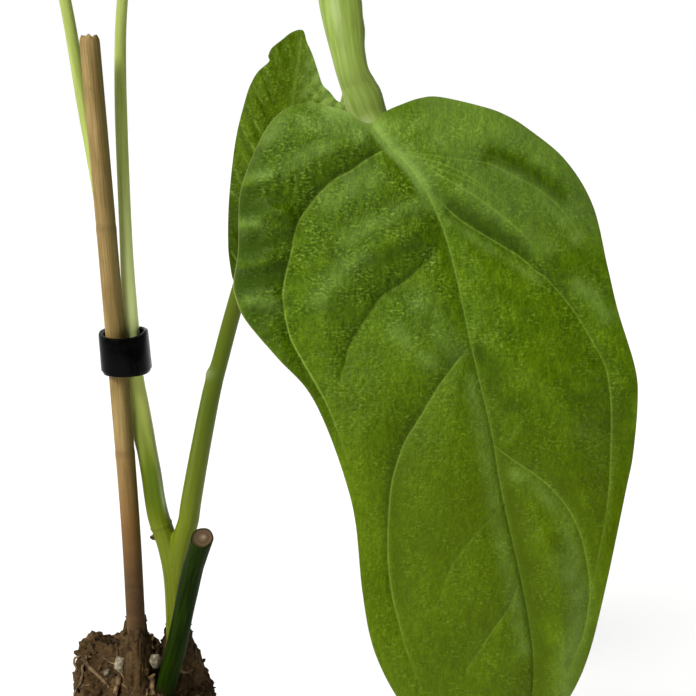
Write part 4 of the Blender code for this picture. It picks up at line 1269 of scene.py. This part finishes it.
class Sheet:
    """The plane that a blade is drawn on. With an eye, its bulges move along lines through the eye."""

    def __init__(self, origin, right, up, face, eye=None):
        vectors = (np.array(v, dtype=float) for v in (origin, right, up, face))
        self.origin, self.right, self.up, self.face = vectors
        self.eye = None if eye is None else np.array(eye, dtype=float)

    def place(self, points, lift):
        flat = self.origin + points[:, :1] * self.right + points[:, 1:2] * self.up
        if self.eye is None:
            return flat + self.face * lift[:, None]
        line = self.eye - flat
        return flat + line * (lift / (line @ self.face))[:, None]


# How far beside the veins and inside the margin the rows of a blade's points run
VEIN_ROW = 0.24
RIM_ROW = 0.2
# The underside's patterns are those of places this far behind the face's
UNDER_SHIFT = 40.0


def rows_beside(line, gap, closed=False):
    """The two lines that run beside a line at a gap from it."""
    ahead = np.roll(line, -1, axis=0) - np.roll(line, 1, axis=0) if closed else np.gradient(line, axis=0)
    ahead /= np.linalg.norm(ahead, axis=1, keepdims=True)
    across = np.column_stack([-ahead[:, 1], ahead[:, 0]]) * gap
    return [line + across, line - across]


def spread_out(points, kept, gap):
    """Those points, in order, that lie at least a gap from the kept ones and from each other."""
    cells = {}
    for p in kept:
        cells.setdefault((int(p[0] // gap), int(p[1] // gap)), []).append(p)
    result = []
    for p in points:
        i, j = int(p[0] // gap), int(p[1] // gap)
        near = [q for a in (i - 1, i, i + 1) for b in (j - 1, j, j + 1) for q in cells.get((a, b), ())]
        if all((p[0] - q[0]) ** 2 + (p[1] - q[1]) ** 2 >= gap * gap for q in near):
            cells.setdefault((i, j), []).append(p)
            result.append(p)
    return result


def blade(name, sheet, outline, grid, lines, shape, mat, slot, node):
    """A closed thin blade. lines are its veins, and shape gives lift, thickness and marks at its points."""
    outline = curve(outline, grid * 0.8, closed=True)
    rim = np.vstack([outline, outline[:1]])
    low, high = outline.min(0), outline.max(0)
    rows = np.arange(low[1], high[1], grid * math.sqrt(0.75))
    field = []
    for j, row in enumerate(rows):
        across = np.arange(low[0] + (0.5 * grid if j % 2 else 0), high[0], grid)
        field.append(np.column_stack([across, np.full(len(across), row)]))
    field = np.vstack(field)
    rows = [row for line in lines for row in (line, *rows_beside(line, VEIN_ROW))]
    rows = np.vstack(rows + rows_beside(outline, RIM_ROW, closed=True))
    rows = rows[inside(rows, outline)]
    rows = rows[line_field(rows, rim)[0] > RIM_ROW * 0.8]
    rows = spread_out(rows, [], VEIN_ROW * 0.7)
    field = field[inside(field, outline)]
    field = field[line_field(field, rim)[0] > grid * 0.6]
    field = spread_out(field, rows, grid * 0.72)
    spots = [Vector(p) for p in list(outline) + rows + field]
    flat, _, triangles, _, _, _ = delaunay_2d_cdt(spots, [], [list(range(len(outline)))], 1, 1e-6)
    flat = np.array([tuple(p) for p in flat])
    edge = line_field(flat, rim)[0]
    lift, thickness, marks = shape(flat, edge)
    count = len(flat)
    points = np.vstack([sheet.place(flat, lift), sheet.place(flat, lift - thickness)])
    sides = {}
    for tri in triangles:
        for a, b in zip(tri, tri[1:] + tri[:1]):
            sides[(a, b)] = True
    faces = [tuple(tri) for tri in triangles]
    faces += [tuple(count + i for i in reversed(tri)) for tri in triangles]
    faces += [(b, a, count + a, count + b) for a, b in sides if (b, a) not in sides]
    obj = solid(name, points, faces, mat, math.radians(75))
    place = np.vstack([np.column_stack([flat, np.full(count, depth)]) for depth in (0.0, UNDER_SHIFT)])
    both = {key: np.concatenate([values, values]) for key, values in marks.items()}
    under = np.concatenate([np.zeros(count), np.ones(count)])
    mark(obj, place=place, under=under, **both)
    fit(obj, slot, node)
    return obj


# Leaf skin: a waxy green with a soft gloss that breaks up on fine puckers, paler at the midrib and
# veins, and yellower and duller underneath. Painted glints and specks of light and shade lie where it
# puckers, and a painted sheen rides with the pale fan. Its cells are far too fine to show, so puckers of
# 0.8 and 1.7 mm stand for them.
def leaf_skin(name, gloss, shades, vein_colour, fan_and_sheen_colour, rim_colour, under_colour):
    mat, tree, shader, place = finish(name, 1.42, Specular_IOR_Level=gloss, Specular_Tint=linear("#f0ffb4"))
    cloud = put(tree, "TexNoise", {"Vector": place, "Scale": 1 / 11.0, "Detail": 4.0})
    mottle = put(tree, "TexNoise", {"Vector": place, "Scale": 1 / 1.7, "Detail": 5.0, "Roughness": 0.65})
    stretched = put(tree, "Mapping", {"Vector": place, "Scale": (1 / 0.35, 1 / 0.9, 1.0)})
    cells = put(tree, "TexNoise", {"Vector": stretched, "Scale": 1.0, "Detail": 3.0, "Roughness": 0.6})
    coarse = put(tree, "Mix", {"Factor": 0.45, "A": cloud, "B": mottle}, data_type="FLOAT")
    both = put(tree, "Mix", {"Factor": 0.42, "A": coarse, "B": cells}, data_type="FLOAT")
    tone = put(tree, "Attribute", attribute_name="tone").outputs["Fac"]
    grain = put(tree, "Attribute", attribute_name="grain").outputs["Fac"]
    wide = put(tree, "Mapping", {"Vector": place, "Scale": (1 / 0.7, 1 / 0.42, 1.0)})
    specks = put(tree, "TexNoise", {"Vector": wide, "Scale": 1.0, "Detail": 1.0})
    long = put(tree, "Mapping", {"Vector": place, "Scale": (1 / 1.0, 1 / 3.2, 1.0)})
    streaks = put(tree, "TexNoise", {"Vector": long, "Scale": 1.0, "Detail": 4.0, "Roughness": 0.7})
    streaked = put(tree, "MapRange", {"Value": streaks}, span=(0.25, 0.75, -0.11, 0.11))
    clumps = put(tree, "TexNoise", {"Vector": place, "Scale": 1 / 4.5, "Detail": 2.0})
    clumped = put(tree, "MapRange", {"Value": clumps}, span=(0.42, 0.58, 0.12, 1.15))
    clumped = put(tree, "Math", {0: clumped, 1: grain}, operation="MULTIPLY")
    # Painted specks of light and shade, clumped where the blade puckers
    painted_speckle_range = put(tree, "MapRange", {"Value": specks}, span=(0.3, 0.7, -0.15, 0.15))
    painted_speckle = put(tree, "Math", {0: painted_speckle_range, 1: clumped}, operation="MULTIPLY")
    mottled = put(tree, "Math", {0: both, 1: streaked}, operation="ADD")
    toned = put(tree, "Math", {0: mottled, 1: tone}, operation="ADD")
    shade = put(tree, "Math", {0: toned, 1: painted_speckle}, operation="ADD")
    steps = put(tree, "ValToRGB", {"Fac": shade}, stops=list(zip((0.32, 0.46, 0.58, 0.74), shades)))
    # Painted glints in the pale fan colour, clumped the same way
    painted_glint = put(tree, "MapRange", {"Value": specks}, span=(0.57, 0.75, 0, 0.42))
    share = put(tree, "Math", {0: painted_glint, 1: clumped}, operation="MULTIPLY")
    steps = put(tree, "Mix", {"Factor": share, "A": steps, "B": fan_and_sheen_colour}, data_type="RGBA")
    # The fan layer is the pale midrib together with a painted sheen
    steps = layered(tree, steps, ripe="#505c00", fan=fan_and_sheen_colour, vein=vein_colour, rim=rim_colour)
    under = put(tree, "Attribute", attribute_name="under").outputs["Fac"]
    paler = put(tree, "Mix", {"Factor": 0.6, "A": steps, "B": under_colour}, data_type="RGBA")
    colour = put(tree, "Mix", {"Factor": under, "A": steps, "B": paler}, data_type="RGBA")
    pucker = put(tree, "TexNoise", {"Vector": place, "Scale": 1 / 0.8, "Detail": 3.0, "Roughness": 0.65})
    waxy = put(tree, "MapRange", {"Value": pucker}, span=(0.3, 0.7, 0.2, 0.36))
    face = put(tree, "Mix", {"Factor": grain, "A": 0.52, "B": waxy}, data_type="FLOAT")
    rough = put(tree, "Mix", {"Factor": under, "A": face, "B": 0.62}, data_type="FLOAT")
    relief = put(tree, "MapRange", {"Value": grain}, span=(0, 1, 0.3, 2.1))
    height = put(tree, "Math", {0: pucker, 1: relief}, operation="MULTIPLY")
    fine = put(tree, "Bump", {"Height": height, "Strength": 0.8, "Distance": 0.3 * MM})
    bump = put(tree, "Bump", {"Height": mottle, "Strength": 0.4, "Distance": 0.3 * MM, "Normal": fine})
    wear(tree, shader, colour, rough, bump)
    return mat


front_midrib = curve(FRONT_MIDRIB, 0.45)
front_veins = [(pale, deep, curve(drawn(pixels), 0.45)) for pale, deep, pixels in FRONT_VEINS_SEEN.values()]


def front_shape(points, edge):
    """The front blade's lift, thickness and marks. edge is the distance to its margin."""
    x, up = points[:, 0], points[:, 1]
    ribs = np.array(FRONT_MIDRIB)[::-1]
    side = x - np.interp(up, ribs[:, 1], ribs[:, 0])
    # Both halves curl back from the midrib, and so do the top, the left lobe and the tip
    lift = -np.where(side < 0, 0.0028, 0.0085) * side ** 2
    lift -= 0.035 * np.maximum(0, up + 9.0) ** 2 * (1 - 0.65 * np.exp(-((x + 0.5) / 6.0) ** 2))
    lift -= 0.018 * np.maximum(0, -15.0 - x) ** 2
    lift -= 0.004 * np.maximum(0, -78.0 - up) ** 2
    # The margin waves
    lift += 0.9 * np.sin(up / 5.3 + x * 0.09) * np.minimum(1, (side / 26.0) ** 2)
    # The blade sinks to its veins and swells above each
    mid_distance, mid_share, _ = line_field(points, front_midrib)
    sunk = np.exp(-(mid_distance / PUFF_REACH) ** 1.3)
    vein = np.zeros(len(points))
    groove = np.zeros(len(points))
    shaded = np.zeros(len(points))
    for pale, deep, line in front_veins:
        distance, share, hand = line_field(points, line)
        upper = hand == np.where(line[-1, 0] > line[0, 0] + 8.0, 1, -1)
        fade = rising(share, 1.0, -0.3) * np.clip(share / 0.04, 0.4, 1)
        sunk = np.maximum(sunk, deep * fade * np.exp(-(distance / PUFF_REACH) ** 1.3))
        swell = deep * fade * upper * (distance / 3.2) * np.exp(1 - distance / 3.2)
        lift += 0.55 * swell
        # Painted shade on the upper side of each vein
        shaded = np.maximum(shaded, deep * fade * upper * np.exp(-(distance / 3.4) ** 2))
        vein = np.maximum(vein, pale * fade * bump_of(distance, VEIN_WIDTH))
        groove = np.maximum(groove, deep * fade * bump_of(distance, GROOVE_WIDTH))
    lift += PUFF_HEIGHT * (1 - sunk)
    lift -= GROOVE_DEPTH * groove
    # Ridges between the veins
    crest = np.zeros(len(points))
    for height, width, pixels in FRONT_RIDGES_SEEN:
        crest += height * bump_of(line_field(points, curve(drawn(pixels), 0.8))[0], width)
    lift += crest
    # Fine puckers, strongest high up on the left
    calm = rising(up, -66.0, 40.0, 0.1) * np.where(side > 0, 0.55, 1.0)
    calm *= np.minimum(1, mid_distance / 2.5) * np.minimum(1, edge / 2.0)
    blister = np.abs(fine_noise(points, 3.4, 2.0)) * 1.2 + np.abs(fine_noise(points, 1.4, 5.0)) * 0.9
    lift += 0.4 * calm * blister
    # The midrib lies in a furrow and spreads pale at the stalk
    width = 0.17 + 0.9 * np.exp(-mid_share / 0.035) + 0.1 * np.exp(-mid_share / 0.2)
    lift -= 0.35 * bump_of(mid_distance, width * 1.3)
    base_pale = np.clip(mid_share / 0.13, 0.35, 1)
    vein = np.maximum(vein, (0.85 - 0.75 * mid_share) * base_pale * bump_of(mid_distance, width))
    fan = 0.75 * rising(mid_share, 0.17, -0.06) * np.exp(-(mid_distance / 1.2) ** 4)
    right_fan = 0.4 * rising(mid_share, 0.2, -0.1) * (side > 0) * bump_of(mid_distance, 2.6)
    fan = np.maximum(fan, right_fan)
    # Painted sheen where the wax catches the light
    haze = strongest(points, FRONT_PAINTED_SHEEN_SEEN) * np.clip(0.85 + 0.7 * fine_noise(points, 2.6, 9.0), 0, 1.15)
    fan = np.maximum(fan, haze)
    ripe = 0.35 * rising(up, -35.0, -30.0)
    thickness = LEAF_THICKNESS + 0.9 * bump_of(mid_distance, 0.9) * (1 - 0.7 * mid_share)
    thickness = (thickness + GROOVE_DEPTH * groove) * thinned(edge)
    # Tones: paler on the right and at the top, darker low down, painted shade at the curled-back left
    # margin lightened on its ridges as painted light, and painted shade above the veins
    tone = 0.04 * np.clip(side / 12.0, 0, 1) - 0.03 * rising(up, -40.0, -30.0)
    tone -= (0.17 - 0.12 * crest) * rising(x, -17.0, -5.0)
    tone += 0.08 * rising(up, -9.0, 8.0) * (x > 0)
    # The painted shade above the veins fades out low on the left
    shaded = 0.09 * shaded * np.where(side < 0, rising(up, -62.0, 8.0), 1)
    # Painted shade in the pucker hollows and painted light on their domes
    tone += 0.06 * (calm * blister - 0.4 * calm) - shaded
    tone += 0.09 * rising(edge, 6.0, -3.0) * rising(up, -50.0, -10.0) * (side < 0)
    # The upper right lobe is darker, under a painted sheen
    lobe = rising(up, -24.0, 8.0) * rising(side, 4.0, 6.0)
    tone -= 0.06 * lobe
    # Painted shade in the pockets, painted light on the sunlit strip, and the painted sheen paler still
    painted_pockets = strongest(points, FRONT_PAINTED_SHADE_SEEN)
    tone += 0.12 * haze + strongest(points, FRONT_PAINTED_LIGHT_SEEN) - painted_pockets
    fan = np.maximum(fan, 0.22 * lobe * np.clip(1 - painted_pockets / 0.06, 0, 1))
    # Painted shade in a strip right of the lower midrib
    tone -= 0.06 * (side > 0) * np.exp(-(mid_distance / 3.0) ** 2) * rising(mid_share, 0.35, 0.1)
    tone += 0.09 * fine_noise(points, 4.0, 3.0) * (side > 0) * rising(up, -20.0, -10.0)
    # The margin is a pale line, clearest at the left lobe
    left_rim = rising(x, -14.0, -4.0)
    rim = bump_of(edge, 0.14) * (0.12 + 0.25 * left_rim + 0.45 * bump_of(np.hypot(x + 24.0, up + 30.5), 4.0))
    marks = {"vein": np.clip(vein, 0, 1), "fan": np.clip(fan, 0, 1), "tone": tone, "rim": rim}
    grain = np.maximum(calm, 0.55 * np.minimum(1, edge / 2.0)) * np.clip(1.2 - painted_pockets / 0.1, 0.3, 1)
    marks.update(grain=grain, ripe=ripe)
    return lift, thickness, marks


# The sheets of the front leaf and of the young one face the eye
facing = dict(
    right=(1, 0, 0),
    up=(0, math.sin(SHEET_LEAN), math.cos(SHEET_LEAN)),
    face=(0, -math.cos(SHEET_LEAN), math.sin(SHEET_LEAN)),
    eye=EYE,
)
mature_skin = leaf_skin("mature_leaf_skin", 0.18, ("#2c4200", "#3c5500", "#4b6503", "#627d10"),
                        "#7f9b38", "#7b9749", "#9aa35c", "#75864a")
front_lines = [front_midrib] + [line for *_, line in front_veins]
blade("front_leaf", Sheet(FRONT_SHEET_ORIGIN, **facing), FRONT_OUTLINE, LEAF_GRID, front_lines,
      front_shape, mature_skin, "leaf_blade", "leaf_front")


# The young leaf stands behind it, tip up and still half folded. Its blade is thinner and more olive,
# ribbed between close side veins that run up and out from the midrib.
BACK_SHEET_ORIGIN = (40.3, -42.8, 202.6)
BACK_OUTLINE = [
    (0.0, -0.9), (1.9, -8.6), (5.6, -11.4), (9.8, -10.4), (13.8, -5.6), (16.9, 2.6), (18.7, 10.8),
    (19.5, 19.0), (19.2, 26.0), (18.3, 32.6), (16.4, 34.3), (15.0, 36.1), (13.3, 37.8), (12.3, 40.6),
    (11.0, 44.6), (9.6, 47.8), (8.6, 50.6), (6.1, 50.2), (3.6, 48.3), (1.3, 46.4), (0.5, 44.5),
    (0.7, 43.3), (-1.9, 40.9), (-3.5, 38.2), (-4.7, 34.9), (-6.8, 26.7), (-8.0, 18.5), (-8.8, 9.1),
    (-8.9, 0.2), (-8.4, -4.7), (-7.7, -8.0), (-6.1, -10.4), (-3.7, -10.9), (-1.6, -8.4),
]
BACK_MIDRIB = [(0.0, -0.5), (2.2, 12.0), (4.8, 25.0), (7.0, 39.0), (8.2, 48.5)]
BACK_VEIN_SPACING = 5.2


def back_shape(points, edge):
    """The young blade's lift, thickness and marks. edge is the distance to its margin."""
    x, up = points[:, 0], points[:, 1]
    ribs = np.array(BACK_MIDRIB)
    side = x - np.interp(up, ribs[:, 1], ribs[:, 0])
    # Half folded and ribbed, its left margin and its tip bent back
    lift = np.where(side < 0, 0.20, 0.26) * (np.hypot(side, 3.0) - 3.0)
    wander = 1.6 * fine_noise(points, 7.0, 23.0)
    phase = (up - 1.6 * np.abs(side) + wander) * 1.05
    spread = np.minimum(1, np.abs(side) / 5.0)
    lift += 0.22 * np.sin(phase) * spread
    lift -= 0.06 * np.maximum(0, -5.5 - side) ** 2
    lift -= 0.012 * np.maximum(0, up - 34.0) ** 2
    crinkle = 0.22 * fine_noise(points, 3.0, 11.0) + 0.08 * fine_noise(points, 1.4, 17.0)
    lift += np.minimum(1, edge / 2.0) * crinkle
    mid_distance = line_field(points, curve(BACK_MIDRIB, 0.8))[0]
    # Side veins run up and out, broken here and there
    vein = 0.3 * bump_of(mid_distance, 0.3)
    rows = (up - 2.0 * np.abs(side) + 0.03 * side ** 2 + wander) / BACK_VEIN_SPACING
    off = np.abs(rows - np.round(rows)) * BACK_VEIN_SPACING
    broken = np.clip(0.5 + 2.0 * fine_noise(points, 5.0, 31.0), 0, 1)
    vein = np.maximum(vein, 0.5 * bump_of(off, 0.24) * spread * broken)
    lift -= 0.15 * bump_of(off, 0.6) * spread
    thickness = (LEAF_THICKNESS + 0.6 * bump_of(mid_distance, 0.7)) * thinned(edge)
    # Darker toward the base, painted light and shade along its ribs, and a painted sheen high on the right
    tone = 0.06 + 0.02 * np.sin(phase) * spread - 0.42 * rising(up, 20.0, -20.0)
    painted_high_sheen = 0.45 * rising(up, 18.0, 12.0) * rising(side, 0.5, 4.5)
    painted_high_sheen *= np.clip(0.7 + 1.3 * fine_noise(points, 1.6, 37.0), 0, 1)
    marks = {"vein": np.clip(vein, 0, 1), "fan": painted_high_sheen, "tone": tone}
    marks.update(rim=0.3 * bump_of(edge, 0.12), grain=np.full(len(points), 0.5))
    return lift, thickness, marks


young_skin = leaf_skin("young_leaf_skin", 0.1, ("#2e4100", "#3b4f00", "#475d04", "#5d7410"),
                       "#7c963a", "#86a052", "#5c6a28", "#75864a")
blade("back_leaf", Sheet(BACK_SHEET_ORIGIN, **facing), BACK_OUTLINE, LEAF_GRID, [curve(BACK_MIDRIB, 0.5)],
      back_shape, young_skin, "young_blade", "leaf_back")


# The two high leaves are full grown and whole, held out flat above the rest on the slim stalks.
# Each arches from its stalk to its tip and is puffed up between six pairs of side veins.

# Half of a blade's outline, and where its pairs of side veins start, as shares of its length
HALF_OUTLINE = [
    (0.0, -0.02), (0.05, 0.045), (0.13, 0.075), (0.22, 0.05), (0.285, -0.04), (0.315, -0.15),
    (0.31, -0.28), (0.285, -0.42), (0.245, -0.56), (0.19, -0.69), (0.125, -0.81), (0.06, -0.915),
    (0.018, -0.975), (0.0, -1.0),
]
VEIN_STARTS = (0.03, 0.13, 0.25, 0.39, 0.55, 0.71)
UPPER_GRID = 0.8
# Each blade's node, stalk end, where its tip points, where its face looks, length and arch
UPPER_BLADES = (
    ("leaf_upper_left", (-26.3, 13.7, 293.2), (-0.86, 0.42, -0.05), (-0.10, -0.25, 1.0), 74.0, 0.16),
    ("leaf_upper_centre", (7.5, 15.6, 296.2), (0.42, 0.86, 0.05), (0.05, -0.30, 1.0), 68.0, 0.16),
)


def arched_lines(length):
    """The midrib and the pairs of side veins of a whole blade."""
    midrib = curve([(0, -0.02 * length), (0, -0.5 * length), (0, -0.97 * length)], 0.7)
    veins = []
    for start in VEIN_STARTS:
        reach = (0.27 * math.sin(math.pi * min(0.97, start + 0.2)) + 0.02) * length
        for hand in (1, -1):
            sweep = [(0.0, start), (0.35, start + 0.05), (0.72, start + 0.14), (1.0, start + 0.27)]
            veins.append(curve([(hand * reach * share, -down * length) for share, down in sweep], 0.7))
    return midrib, veins


def arched_shape(length, arch):
    """The shape of a high blade. arch is how far its tip hangs, as a share of its length."""
    midrib, veins = arched_lines(length)

    def shape(points, edge):
        x, up = points[:, 0], points[:, 1]
        near, mid_share, _ = line_field(points, midrib)
        width = 0.3 + 1.2 * np.exp(-mid_share / 0.05)
        vein = 0.9 * bump_of(near, width)
        mid_distance = near.copy()
        for line in veins:
            distance, share, _ = line_field(points, line)
            near = np.minimum(near, distance)
            vein = np.maximum(vein, (0.7 - 0.4 * share) * bump_of(distance, 0.25))
        lift = 0.12 * np.abs(x) - 0.006 * x ** 2 + 1.3 * (1 - np.exp(-(near / 3.4) ** 1.6))
        wave = np.sin(up / 5.0 + np.where(x > 0, 1.0, 3.0))
        lift += 0.9 * wave * np.minimum(1, (x / (0.25 * length)) ** 2)
        lift -= arch * length * np.maximum(0, -up / length - 0.1) ** 2
        lift += np.minimum(1, near / 2.5) * np.minimum(1, edge / 3) * 0.35 * fine_noise(points, 3.0, length)
        fan = np.exp(-mid_share / 0.1) * bump_of(mid_distance, 1.5 + 14 * mid_share)
        thickness = (LEAF_THICKNESS + 0.8 * bump_of(mid_distance, 0.8)) * thinned(edge)
        marks = {"vein": np.clip(vein, 0, 1), "fan": fan, "tone": np.zeros(len(points))}
        marks.update(rim=0.3 * bump_of(edge, 0.12), grain=np.full(len(points), 0.6))
        return lift, thickness, marks

    return shape


for node, origin, tip, face, length, arch in UPPER_BLADES:
    up = -Vector(tip).normalized()
    face = Vector(face)
    face = (face - up * face.dot(up)).normalized()
    half = [(x * length, y * length) for x, y in HALF_OUTLINE]
    outline = half + [(-x, y) for x, y in reversed(half[1:-1])]
    midrib, veins = arched_lines(length)
    blade(node.replace("leaf_", "") + "_leaf", Sheet(origin, up.cross(face), up, face), outline, UPPER_GRID,
          [midrib] + veins, arched_shape(length, arch), mature_skin, "leaf_blade", node)


# The studio is a plain white table that runs back to a white wall of light. A large soft lamp stands
# high to the left, in front of the plant, and the room is brighter on that side.

# The table's side in metres, and the way to the lamp, its strength and its breadth in degrees
FLOOR_SIZE = 60.0
KEY_FROM = (-0.48, -0.54, 0.70)
KEY_STRENGTH = 3.9
KEY_ANGLE = 26.0


def studio():
    mat, _, shader, _ = finish("white_laminate", 1.45, Roughness=0.7)
    shader.inputs["Base Color"].default_value = linear("#fdfdfb")
    # The table
    bpy.ops.mesh.primitive_plane_add(size=FLOOR_SIZE)
    floor = bpy.context.object
    floor.name = "floor"
    floor.data.materials.append(mat)
    # The room's light is weak in front and on the right, and the wall behind the plant is full white
    world = bpy.data.worlds.new("soft_room")
    bpy.context.scene.world = world
    world.use_nodes = True
    sky = world.node_tree
    direction = put(sky, "TexCoord").outputs["Generated"]
    direction_parts = put(sky, "SeparateXYZ", {"Vector": direction})
    toward_back = direction_parts.outputs["Y"]
    level = put(sky, "MapRange", {"Value": toward_back}, span=(-0.6, 0.1, 0.1, 1.0))
    sided = put(sky, "MapRange", {"Value": direction_parts.outputs["X"]}, span=(-0.7, 0.7, 0.8, 0.12))
    room = put(sky, "Math", {0: level, 1: sided}, operation="MULTIPLY")
    wall = put(sky, "MapRange", {"Value": toward_back}, span=(0.84, 0.92))
    both = put(sky, "Math", {0: room, 1: wall}, operation="MAXIMUM")
    sky.nodes["Background"].inputs["Color"].default_value = linear("#ffffff")
    sky.links.new(both.outputs[0], sky.nodes["Background"].inputs["Strength"])
    # The lamp
    lamp = bpy.data.lights.new("key", "SUN")
    lamp.energy = KEY_STRENGTH
    lamp.angle = math.radians(KEY_ANGLE)
    key = bpy.data.objects.new("key", lamp)
    key.rotation_euler = Vector(KEY_FROM).to_track_quat("Z", "Y").to_euler()
    bpy.context.scene.collection.objects.link(key)
    # The eye
    camera = bpy.data.cameras.new("camera")
    camera.sensor_width = 36.0
    camera.lens = EYE_FOCUS / FRAME_SIZE * camera.sensor_width
    camera.clip_start = 0.001
    camera.clip_end = 200.0
    eye = bpy.data.objects.new("camera", camera)
    eye.location = EYE * MM
    eye.rotation_euler = (math.pi / 2 - EYE_PITCH, 0, 0)
    bpy.context.scene.collection.objects.link(eye)
    bpy.context.scene.camera = eye
    bpy.context.scene.view_settings.view_transform = "Standard"


studio()
